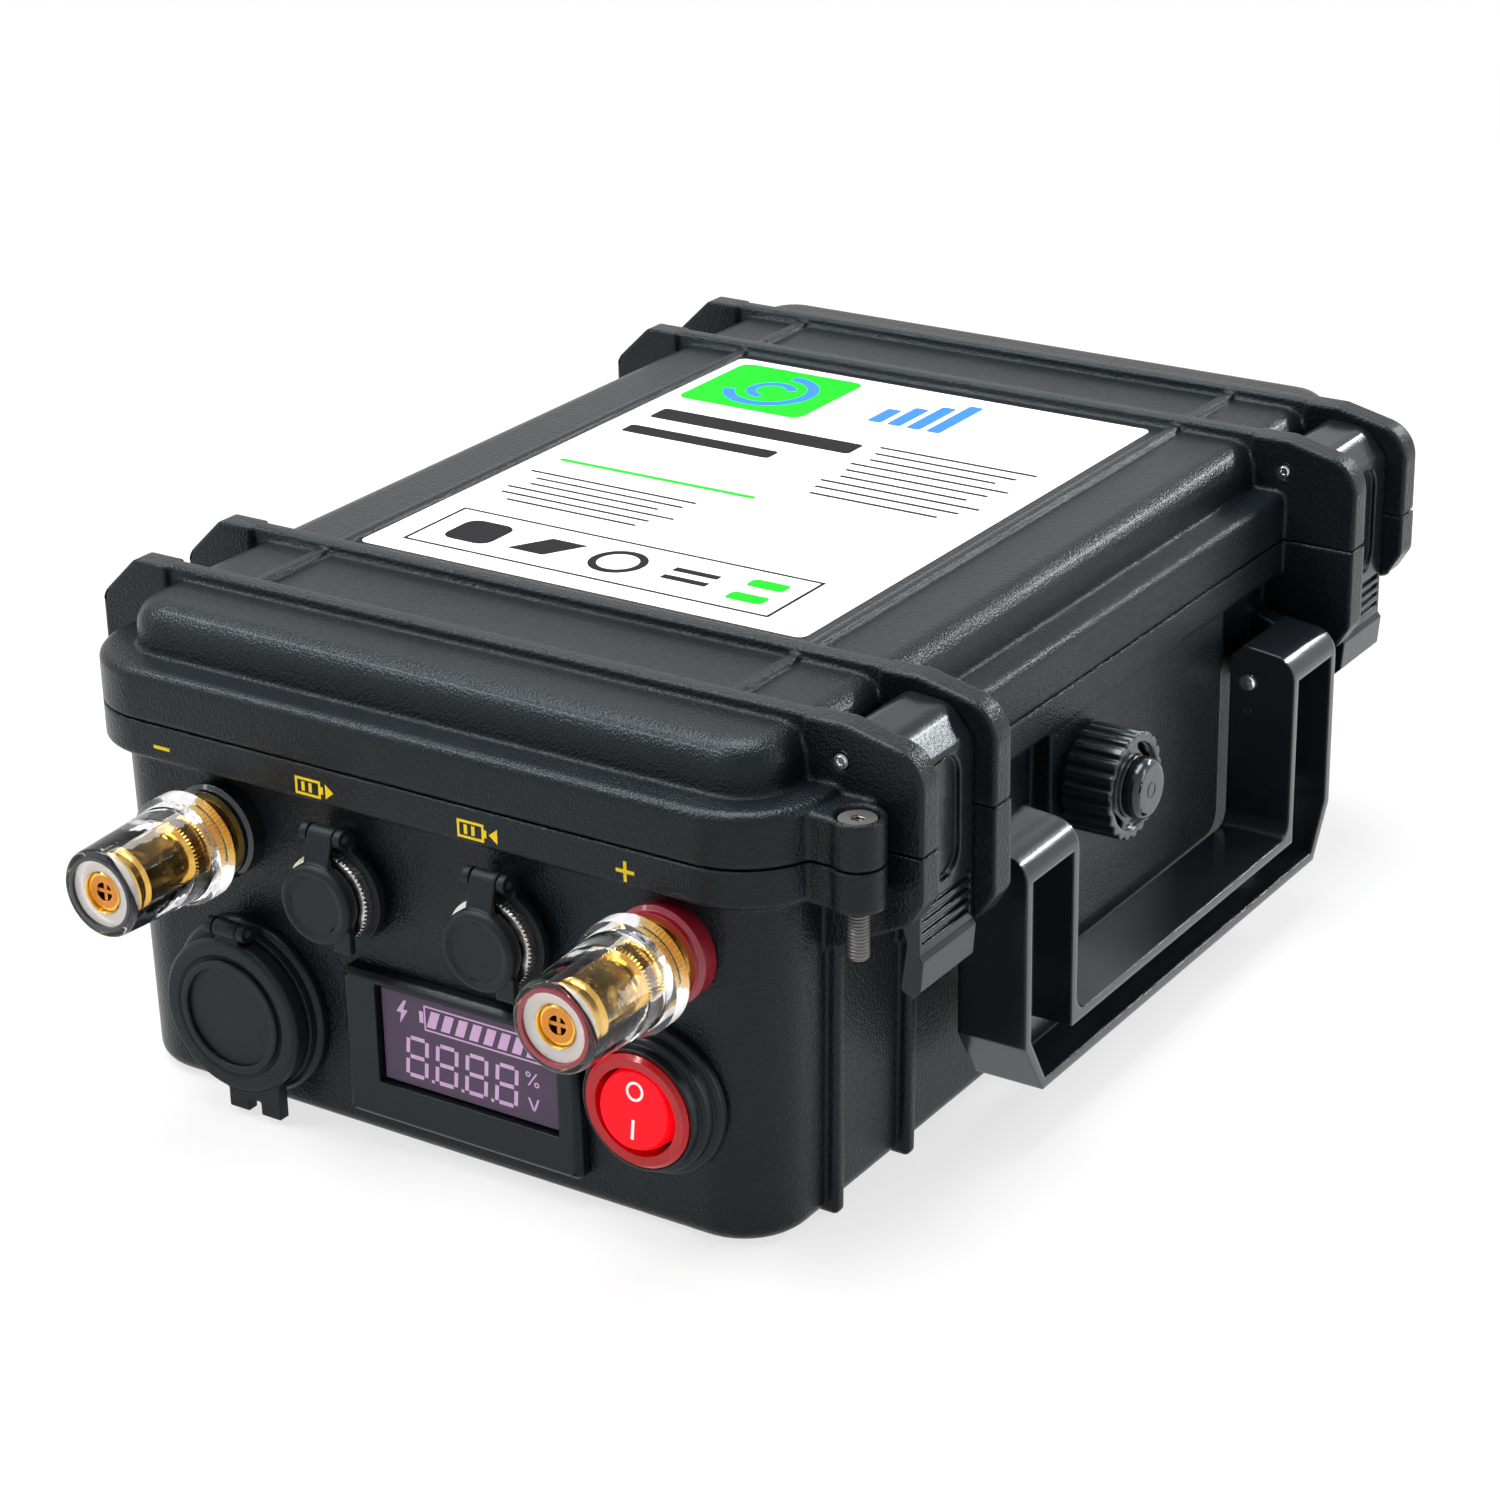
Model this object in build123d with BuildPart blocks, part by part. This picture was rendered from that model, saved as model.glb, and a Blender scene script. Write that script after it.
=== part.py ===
from build123d import *
import os
from math import cos, hypot, radians, sin

os.makedirs("parts", exist_ok=True)

# Deep cycle battery in a hinged, moulded carry case.  Millimetres, +Z up.
# The origin is the middle of the case's footprint, on the floor.
# -Y is the terminal panel, +X is the side with the latches and the carry
# handle, and -X is the hinge side.

# ---------------------------------------------------------------- case sizes
CASE_W = 173.0            # over the flange bands, X
CASE_L = 268.0            # over the flange bands, Y
BASE_H = 82.0             # floor to the parting plane
BAND_R = 18.5             # plan corner radius of both flange bands
BASE_BAND = 8.0           # height of the band round the base
LID_BAND = 11.0           # height of the band round the lid
PART_GAP = 0.3            # open line between lid and base
WALL = 3.0                # moulded wall
SETBACK = 4.5             # tub wall behind the band's face
COVE = 2.0                # slope from the band back to the tub wall
DRAFT = 1.5               # how much the tub narrows on each drafted side
OVERCUT = 0.001           # a cut's run past the face it opens
TUB_R = 14.5              # plan corner radius of the tub
FLOOR_R = 3.5             # radius along the foot of the tub
DOME_INSET = 7.8          # lid dome behind the band's face
DOME_H = 10.0             # lid dome above the band
DOME_R = 6.0              # rolled edge of the dome
RIB_H = 2.4               # lid ribs above the dome
RIB_T = 4.0               # thickness of the lid ribs
RIDGE_X = 58.5            # ridges along the lid
RIDGE_W = 2.4
RIDGE_H = 1.2
INNER_RIB_Y = 80.5        # pair of ribs beside the handle
OUTER_RIB_Y = 107.5       # pair of ribs near the corners
GUARD_T = 6.0             # guard plates either side of each latch
GUARD_PROUD = 17.0        # guard plates beyond the band's face
WALL_RIB_PROUD = 2.6      # ribs down the tub wall
WALL_RIB_T = 3.4
WALL_RIB_R = 1.2          # rounding of their outer edges and feet
PIN_R = 1.5               # hinge and latch pins
PIN_FIT = 0.06            # running clearance round every pin

# ------------------------------------------------------ rim, groove, gasket
TONGUE_INSET = 3.2        # tongue on the base, behind the band's face
TONGUE_T = 2.0
TONGUE_H = 2.2
GROOVE_CLEAR = 0.5
GASKET_T = 1.6
GASKET_CLEAR = 0.1

# ------------------------------------------------------------------- hinges
HINGE_OUT = 5.0           # hinge axis beyond the band's face
HINGE_R = 4.4             # knuckles
SIDE_CLEAR = 0.4          # between a moving piece and the cheeks beside it

# ------------------------------------------------------------------ latches
LATCH_PIN_IN = 0.5        # latch pin behind the band's face
LATCH_PIN_UP = 16.3       # latch pin above the parting plane
LATCH_HUB_R = 4.5
LATCH_FACE = 12.4         # outer face beyond the band's face
LATCH_SKIN = 3.0
LATCH_WEB = 2.2
LATCH_LOW = 33.0          # lower lip below the parting plane
CATCH_OUT = 4.2           # catch nose beyond the band's face
CATCH_W = 13.0

# ------------------------------------------------------------------- handle
HANDLE_HALF = 70.5        # half its outer width
HANDLE_ARM = 21.0         # width of each arm
HANDLE_BACK = 1.4         # back of the handle beyond the band's face
HANDLE_D = 15.6           # front to back
HANDLE_LOW = 69.5         # outer edge of the grip below the parting plane
HANDLE_BAR = 11.0         # height of the grip
HANDLE_SKIN = 2.0
HANDLE_CUT = 12.0         # chamfered lower corners
HANDLE_CORNER = 4.0       # rounded corners of the window
HANDLE_CAP = 6.5          # closed top of each arm's channel
HANDLE_TOP_R = 5.5
HANDLE_WEB = 3.6
HANDLE_PIN_UP = 58.5      # pivot above the floor
HANDLE_PIN_OUT = 5.9      # pivot beyond the band's face
HANDLE_PIN_R = 1.8
HANDLE_HUB_R = 4.2
HANDLE_TOP = 8.6          # top of the arms above the pivot
LUG_T = 5.0               # lugs on the base that hold the handle's pins

# ------------------------------------------------- padlock eyes and their bolts
EYE_OUT = 7.0             # eye centre beyond the band's face
EYE_Y = 117.0
EYE_R = 5.5
EYE_LOW = 8.2             # lower eye, below the parting plane
EYE_HIGH = 9.6            # upper eye, above the parting plane
BOLT_R = 2.1
BOLT_HEAD_R = 3.7
BOLT_HEAD_H = 2.2
BOLT_TIP = 19.5           # bolt end below the parting plane
BOLT_FIT = 0.1
BOLT_SWING = 1.5          # room in the lower eye as the lid swings

# --------------------------------------------- relief valve and its wall pad
PAD_Y0 = -30.0
PAD_Y1 = 48.5
PAD_Z0 = 22.0
PAD_R = 5.0
PAD_IN = 0.2              # pad face behind the band's face
VALVE_Y = -16.0
VALVE_DROP = 22.0         # valve axis below the parting plane
VALVE_TUBE_R = 5.8
VALVE_VENT_R = 1.6
VALVE_SPINDLE_R = 3.2
VALVE_KNOB_R = 11.6
VALVE_KNOB_D = 11.2
VALVE_CAP_R = 6.6
VALVE_CAP_D = 3.4
VALVE_GRIPS = 22

# -------------------------------------------------------- terminal panel
POST_X = (-49.0, 60.0)    # negative and positive binding posts
POST_DROP = 20.5          # all drops are below the parting plane
POST_HOLE = 5.2
STUD_R = 4.0
STUD_FLANGE_R = 8.6
STUD_FLANGE_T = 1.6
STUD_IN = 24.0            # stud length behind the panel
BUSH_T = 2.0              # insulating bush behind the panel
CRIMP_T = 1.4
COLLAR_R = 10.3
COLLAR_T = 5.6
CLAMP_R = 8.3
CLAMP_T = 2.2
CLAMP_GAP = 0.3
KNOB_LEN = 28.0
KNOB_RIM_R = 11.6
KNOB_RIM_T = 7.0
KNOB_BODY_R = 10.2
KNOB_TIP_R = 9.3
KNOB_CORE_R = 7.0
TIP_RING_T = 0.8
PLUG_R = 2.0              # 4 mm plug socket in the end of each stud
PLUG_DEPTH = 14.0

ROUND_X = (-18.5, 21.5)   # the two round charge and discharge sockets
ROUND_DROP = 27.0
ROUND_BARREL_R = 8.0
ROUND_BORE_R = 6.6
ROUND_FLANGE_R = 10.0
ROUND_FLANGE_T = 2.0
ROUND_RING_R = 11.4
ROUND_OUT = 7.0
ROUND_IN = 12.0
ROUND_CAP_R = 8.6
ROUND_CAP_T = 3.2
ROUND_PIVOT_UP = 13.6
ROUND_PIN_OUT = 5.5       # the cap's hinge pin, out from the panel
ROUND_STUB_R = 5.0
ROUND_STUB_L = 3.0
INSERT_FACE = -5.0        # face of the contact insert, out from the panel
STRAP_W = 6.0             # straps of the three rubber caps
STRAP_LUG_T = 1.6
STRAP_BOSS_R = 1.9
STRAP_PIN_R = 0.8

METER_X = 10.0
METER_DROP = 59.5
METER_W = 58.0
METER_H = 33.0
METER_PROUD = 3.4
WINDOW_W = 43.0
WINDOW_H = 20.4
WINDOW_DX = 2.0           # window centre from the bezel's centre
WINDOW_DZ = 3.4
WINDOW_T = 1.5
WINDOW_FLOOR = 0.6        # back of the window, out from the panel
METER_BODY_D = 10.0

LIGHTER_X = -45.0
LIGHTER_DROP = 59.5
LIGHTER_RING_R = 19.5
LIGHTER_RING_T = 2.5
LIGHTER_LINER_R = 11.7
LIGHTER_BARREL_R = 14.2
LIGHTER_BORE_R = 10.6
LIGHTER_IN = 44.0
LIGHTER_CAP_R = 17.2
LIGHTER_CAP_T = 4.0
LIGHTER_PIVOT_UP = 19.2
LIGHTER_PIN_OUT = 6.4
LIGHTER_STUB_R = 9.0

SWITCH_X = 56.0
SWITCH_DROP = 53.0
SWITCH_BASE_R = 16.0
SWITCH_STEP_R = 13.8
SWITCH_OUT = 8.2
SWITCH_SEAT = 3.4         # the red cover's seat, out from the panel
SWITCH_COVER_R = 12.0
ROCKER_R = 8.4
ROCKER_CLEAR = 0.9
ROCKER_OUT = 4.6          # rocker's pivot, out from the panel
ROCKER_FRONT = 3.8        # rocker in front of and behind its pivot
ROCKER_BACK = 2.6
ROCKER_TILT = 8.0         # the rocker leans this far to each side
SWITCH_BODY_R = 9.8
SWITCH_IN = 22.0

PANEL_FIT = 0.15          # between a panel hole and what passes through it
NUT_T = 3.0

# --------------------------------------------------------------- cell pack
CELL_R = 16.1
CELL_ROOM = 11.5          # parting plane above the cells' own height
CELL_PITCH = 33.4
CELLS_X = 4
CELLS_Y = 6
PACK_X = -8.0
PACK_Y = 22.5
HOLDER_T = 8.0
HOLDER_R = 10.0           # plan corner radius of the holders and the foam
HOLDER_FIT = 0.2
FOAM_T = 3.0              # floor foam and the lower bus strips
LID_FOAM_T = 8.0
STRIP_T = 0.5
STRIP_W = 22.0
BOARD_T = 1.6
BOARD_L = 150.0
BOARD_ROOM = 26.0         # parting plane above the board's own height
SINK_T = 4.0
LEAD_R = 2.3
SIGNAL_R = 1.4
LEAD_RISE = 2.5           # main leads above the parting plane
BOARD_Z = 10.0            # foot of the protection board
SINK_GAP = 4.5
BLOCK_Y = -52.0           # plug block on the protection board
BLOCK_L = 26.0
BLOCK_H = 12.6
BLOCK_W = 8.4
BLOCK_DROP = 13.6         # plug block below the parting plane
TAB_PITCH = 6.0
TAB_L = 8.0

# ------------------------------------------------------------ derived places
HALF_W = CASE_W / 2
HALF_L = CASE_L / 2
PANEL_Y = -(HALF_L - SETBACK + 0.3)       # terminal panel's outer face
TUB_W = CASE_W - 2 * SETBACK
TUB_L = -2 * PANEL_Y
LID_Z = BASE_H + PART_GAP
BAND_TOP = LID_Z + LID_BAND
DOME_TOP = BAND_TOP + DOME_H
RIB_TOP = DOME_TOP + RIB_H
GUARD_X = HALF_W + GUARD_PROUD
HINGE_X = -(HALF_W + HINGE_OUT)
LATCH_Y = (INNER_RIB_Y + OUTER_RIB_Y) / 2
CHEEK = (OUTER_RIB_Y - INNER_RIB_Y - GUARD_T) / 2   # half the gap between guards
LATCH_PIN_X = HALF_W - LATCH_PIN_IN
LATCH_PIN_Z = BASE_H + LATCH_PIN_UP
LATCH_X = HALF_W + LATCH_FACE
EYE_X = HALF_W + EYE_OUT
PAD_X = HALF_W - PAD_IN
VALVE_Z = BASE_H - VALVE_DROP
HANDLE_X0 = HALF_W + HANDLE_BACK
HANDLE_X1 = HANDLE_X0 + HANDLE_D
HANDLE_PIN_X = HALF_W + HANDLE_PIN_OUT
HANDLE_Z0 = BASE_H - HANDLE_LOW
HANDLE_INNER = HANDLE_HALF - HANDLE_ARM
LUG_Y = HANDLE_HALF + SIDE_CLEAR + LUG_T / 2
CELL_Z = WALL + FOAM_T
CELL_H = BASE_H - CELL_ROOM
BOARD_H = BASE_H - BOARD_ROOM
BLOCK_Z = BASE_H - BLOCK_DROP
MAIN_LEAD_Z = BASE_H + LEAD_RISE
PACK_W = CELLS_X * CELL_PITCH
PACK_L = CELLS_Y * CELL_PITCH
STRIP_Z = CELL_Z + CELL_H
MIRRORED = (-1, 1)


# ------------------------------------------------------------------- helpers
def across(y):
    """Plane of a section square to Y, with X to the right and Z up."""
    return Plane(origin=(0, y, 0), x_dir=(1, 0, 0), z_dir=(0, -1, 0))


def on_panel(x, drop, out=0.0):
    """Plane on the terminal panel that faces outward, a given way out of it."""
    return Plane(origin=(x, PANEL_Y - out, BASE_H - drop), x_dir=(1, 0, 0), z_dir=(0, -1, 0))


def turning(x, drop):
    """Half-section plane of a turned piece: radius to the right, outward up."""
    return Plane(origin=(x, PANEL_Y, BASE_H - drop), x_dir=(1, 0, 0), z_dir=(0, 0, -1))


def panel_axis(x, drop):
    """Axis of a turned piece on the terminal panel."""
    return Axis((x, PANEL_Y, BASE_H - drop), (0, -1, 0))


def on_side(y, z, x):
    """Plane on the +X wall that faces outward, at distance x."""
    return Plane(origin=(x, y, z), x_dir=(0, 1, 0), z_dir=(1, 0, 0))


def keep(piece, name):
    """Label a finished piece and write its file."""
    piece.part.label = name
    export_step(piece.part, f"parts/{name}.step")


def side_turning(y, z):
    """Half-section plane of a turned piece on the +X wall: radius, then X."""
    return Plane(origin=(0, y, z), x_dir=(0, 1, 0), z_dir=(0, 0, -1))


def side_turned(profile, y, z, mode=Mode.ADD):
    """Turn a closed profile of (radius, X) points round an axis along X."""
    with BuildSketch(side_turning(y, z)) as half:
        with BuildLine():
            Polyline(*profile, close=True)
        make_face()
    revolve(half.sketch, axis=Axis((0, y, z), (1, 0, 0)), mode=mode)


def tube_profile(inner, outer, low, high):
    """Closed profile of a plain tube."""
    return ((inner, low), (outer, low), (outer, high), (inner, high))


def turned(profile, x, drop, mode=Mode.ADD):
    """Turn a closed profile of (radius, way out) points round a panel axis."""
    with BuildSketch(turning(x, drop)) as half:
        with BuildLine():
            Polyline(*profile, close=True)
        make_face()
    revolve(half.sketch, axis=panel_axis(x, drop), mode=mode)


# ---------------------------------------------------------------- base shell
def band_outline(inset=0.0):
    """Plan outline of the flange bands, drawn in from the band's face."""
    RectangleRounded(CASE_W - 2 * inset, CASE_L - 2 * inset, BAND_R - inset)


def tub_body(inset, low, high, mode=Mode.ADD):
    """Drafted tub between two heights; the panel side stays upright."""
    outlines = []
    for z in (low, high):
        drawn = DRAFT * (BASE_H - z) / BASE_H
        with BuildSketch(Plane.XY.offset(z)) as outline:
            with Locations((0, -drawn / 2)):
                RectangleRounded(TUB_W - 2 * (inset + drawn), TUB_L - 2 * inset - drawn, TUB_R - inset)
        outlines.append(outline.sketch)
    loft(outlines, mode=mode)


def guard_foot(y, reach, corner):
    """Base part of one guard plate, whose lower edge slopes back to the wall."""
    with BuildSketch(across(y)) as plate:
        with BuildLine():
            Polyline(
                (HALF_W - SETBACK - 1, BASE_H),
                (GUARD_X, BASE_H),
                (GUARD_X, BASE_H - corner),
                (GUARD_X - 3.0, BASE_H - corner - 5.0),
                (HALF_W - SETBACK - 1, BASE_H - reach),
                close=True,
            )
        make_face()
        fillet(nearest(plate.vertices(), GUARD_X, BASE_H - corner), 3.0)
    extrude(plate.sketch, amount=GUARD_T / 2, both=True)


def nearest(corners, across_x, up_z):
    """The corner of a sketch that lies nearest to a point of the section."""
    return min(corners, key=lambda v: hypot(v.X - across_x, v.Y - up_z))


def wall_rib(y, side):
    """Rib down one side wall, which ends as a foot."""
    foot = side * (HALF_W - SETBACK - DRAFT + WALL_RIB_PROUD)
    head = side * (HALF_W - SETBACK + WALL_RIB_PROUD)
    root = side * (HALF_W - SETBACK - DRAFT - WALL / 2)
    with BuildSketch(across(y)) as plate:
        with BuildLine():
            Polyline(
                (root, 0),
                (foot, 0),
                (head, BASE_H - BASE_BAND),
                (root, BASE_H - BASE_BAND),
                close=True,
            )
        make_face()
        fillet(nearest(plate.vertices(), foot, 0), WALL_RIB_R)
    rib = extrude(plate.sketch, amount=WALL_RIB_T / 2, both=True, mode=Mode.PRIVATE)
    outer = rib.faces().sort_by(lambda face: side * face.center().X)[-1]
    add(rib.fillet(WALL_RIB_R, outer.edges().filter_by(lambda edge: edge.length > BASE_H / 2)))


with BuildPart() as base_shell:
    with BuildSketch(Plane.XY.offset(BASE_H - BASE_BAND)):
        band_outline()
    extrude(amount=BASE_BAND)
    fillet(base_shell.edges().group_by(Axis.Z)[0], 1.2)
    # slope from the band back to the tub
    with BuildSketch(Plane.XY.offset(BASE_H - BASE_BAND)):
        band_outline(1.6)
    with BuildSketch(Plane.XY.offset(BASE_H - BASE_BAND - COVE)):
        band_outline(SETBACK)
    loft()
    tub_body(0, 0, BASE_H - BASE_BAND / 2)
    fillet(base_shell.edges().group_by(Axis.Z)[0], FLOOR_R)
    for side in MIRRORED:
        for rib_y in (INNER_RIB_Y, OUTER_RIB_Y):
            wall_rib(-rib_y, side)
            wall_rib(rib_y, side)
    for end in MIRRORED:
        guard_foot(end * INNER_RIB_Y, 34.0, 18.0)
        guard_foot(end * OUTER_RIB_Y, 24.0, 9.0)
        # catch that the latch closes over
        with BuildSketch(across(end * LATCH_Y)):
            with BuildLine():
                Polyline(
                    (HALF_W - WALL, BASE_H - 1.5),
                    (HALF_W + CATCH_OUT - 1.2, BASE_H - 2.2),
                    (HALF_W + CATCH_OUT, BASE_H - 3.6),
                    (HALF_W + CATCH_OUT, BASE_H - 7.0),
                    (HALF_W - WALL, BASE_H - 10.5),
                    close=True,
                )
            make_face()
        extrude(amount=CATCH_W / 2, both=True)
        # hinge knuckle
        with BuildSketch(across(end * LATCH_Y)):
            with BuildLine():
                Polyline(
                    (-HALF_W + SETBACK, BASE_H),
                    (HINGE_X, BASE_H),
                    (HINGE_X - HINGE_R, BASE_H),
                    (HINGE_X - HINGE_R * 0.7, BASE_H - HINGE_R * 0.9),
                    (-HALF_W + SETBACK, BASE_H - 13.0),
                    close=True,
                )
            make_face()
            with Locations((HINGE_X, BASE_H)):
                Circle(HINGE_R)
        extrude(amount=CHEEK - SIDE_CLEAR, both=True)
        # padlock eye
        with BuildSketch(Plane.XY.offset(BASE_H - EYE_LOW)):
            with Locations((EYE_X, end * EYE_Y)):
                Circle(EYE_R)
            with Locations(((HALF_W - 6 + EYE_X) / 2, end * (EYE_Y + OUTER_RIB_Y) / 2)):
                Rectangle(EYE_X - HALF_W + 6, EYE_Y - OUTER_RIB_Y)
            with Locations(((HALF_W - 6 + EYE_X) / 2, end * EYE_Y)):
                Rectangle(EYE_X - HALF_W + 6, 2 * EYE_R * 0.82)
        extrude(amount=EYE_LOW)
        # lug for the handle's pin
        with BuildSketch(across(end * LUG_Y)):
            with BuildLine():
                Polyline(
                    (HALF_W - SETBACK - DRAFT, HANDLE_PIN_UP + 9.0),
                    (HANDLE_PIN_X, HANDLE_PIN_UP + HANDLE_HUB_R),
                    (HANDLE_PIN_X, HANDLE_PIN_UP - HANDLE_HUB_R),
                    (HALF_W - SETBACK - DRAFT, HANDLE_PIN_UP - 11.0),
                    close=True,
                )
            make_face()
            with Locations((HANDLE_PIN_X, HANDLE_PIN_UP)):
                Circle(HANDLE_HUB_R)
        extrude(amount=LUG_T / 2, both=True)
    # pad that the relief valve stands on
    pad_top = BASE_H - BASE_BAND / 2
    with BuildSketch(on_side((PAD_Y0 + PAD_Y1) / 2, (PAD_Z0 + pad_top) / 2, HALF_W - SETBACK - DRAFT)):
        RectangleRounded(PAD_Y1 - PAD_Y0, pad_top - PAD_Z0, PAD_R)
    extrude(amount=PAD_X - (HALF_W - SETBACK - DRAFT))
    # tongue round the rim
    with BuildSketch(Plane.XY.offset(BASE_H)):
        band_outline(TONGUE_INSET)
        RectangleRounded(
            CASE_W - 2 * (TONGUE_INSET + TONGUE_T),
            CASE_L - 2 * (TONGUE_INSET + TONGUE_T),
            BAND_R - TONGUE_INSET - TONGUE_T,
            mode=Mode.SUBTRACT,
        )
    extrude(amount=TONGUE_H)
    # inside of the tub
    tub_body(WALL, WALL, BASE_H + OVERCUT, mode=Mode.SUBTRACT)
    # pin bores
    for end in MIRRORED:
        with BuildSketch(across(end * LATCH_Y)):
            with Locations((HINGE_X, BASE_H)):
                Circle(PIN_R + PIN_FIT)
        extrude(amount=CHEEK + 1, both=True, mode=Mode.SUBTRACT)
        with BuildSketch(across(end * LUG_Y)):
            with Locations((HANDLE_PIN_X, HANDLE_PIN_UP)):
                Circle(HANDLE_PIN_R + PIN_FIT)
        extrude(amount=LUG_T, both=True, mode=Mode.SUBTRACT)
        with BuildSketch(Plane.XY.offset(BASE_H)):
            with Locations((EYE_X, end * EYE_Y)):
                Circle(BOLT_R + BOLT_SWING)
        extrude(amount=-EYE_LOW, mode=Mode.SUBTRACT)
    # openings of the terminal panel
    for x in POST_X:
        with BuildSketch(on_panel(x, POST_DROP)):
            Circle(POST_HOLE)
        extrude(amount=-WALL - 1, mode=Mode.SUBTRACT)
    for x in ROUND_X:
        with BuildSketch(on_panel(x, ROUND_DROP)):
            Circle(ROUND_BARREL_R + PANEL_FIT)
        extrude(amount=-WALL - 1, mode=Mode.SUBTRACT)
    with BuildSketch(on_panel(LIGHTER_X, LIGHTER_DROP)):
        Circle(LIGHTER_BARREL_R + PANEL_FIT)
    extrude(amount=-WALL - 1, mode=Mode.SUBTRACT)
    with BuildSketch(on_panel(METER_X, METER_DROP)):
        Rectangle(METER_W - 6, METER_H - 6)
    extrude(amount=-WALL - 1, mode=Mode.SUBTRACT)
    with BuildSketch(on_panel(SWITCH_X, SWITCH_DROP)):
        Circle(SWITCH_BODY_R + PANEL_FIT)
    extrude(amount=-WALL - 1, mode=Mode.SUBTRACT)
    with BuildSketch(on_side(VALVE_Y, VALVE_Z, PAD_X)):
        Circle(VALVE_TUBE_R + PANEL_FIT)
    extrude(amount=-(PAD_X - HALF_W + SETBACK + DRAFT + WALL + 2), mode=Mode.SUBTRACT)
keep(base_shell, "base_shell")


# ---------------------------------------------------------------- lid shell
def lid_guard(y):
    """Guard plate on the lid, from the rib's end over the edge to the parting line."""
    with BuildSketch(across(y)) as plate:
        with BuildLine():
            Polyline(
                (HALF_W - DOME_INSET - 1, LID_Z),
                (GUARD_X, LID_Z),
                (GUARD_X, RIB_TOP - 4.0),
                (HALF_W, RIB_TOP),
                (HALF_W - DOME_INSET - 1, RIB_TOP),
                close=True,
            )
        make_face()
        fillet(nearest(plate.vertices(), GUARD_X, RIB_TOP - 4.0), 8.0)
    extrude(plate.sketch, amount=GUARD_T / 2, both=True)


def lid_ear(y):
    """Hinge ear on the lid, from the rib's end over the edge and down to the pin."""
    with BuildSketch(across(y)) as plate:
        with BuildLine():
            Polyline(
                (-HALF_W + DOME_INSET + 1, LID_Z),
                (HINGE_X - HINGE_R, LID_Z),
                (HINGE_X - HINGE_R, RIB_TOP - 9.0),
                (-HALF_W, RIB_TOP),
                (-HALF_W + DOME_INSET + 1, RIB_TOP),
                close=True,
            )
        make_face()
        fillet(nearest(plate.vertices(), HINGE_X - HINGE_R, RIB_TOP - 9.0), 5.0)
        with Locations((HINGE_X, BASE_H)):
            Circle(HINGE_R)
    extrude(plate.sketch, amount=GUARD_T / 2, both=True)


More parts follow.
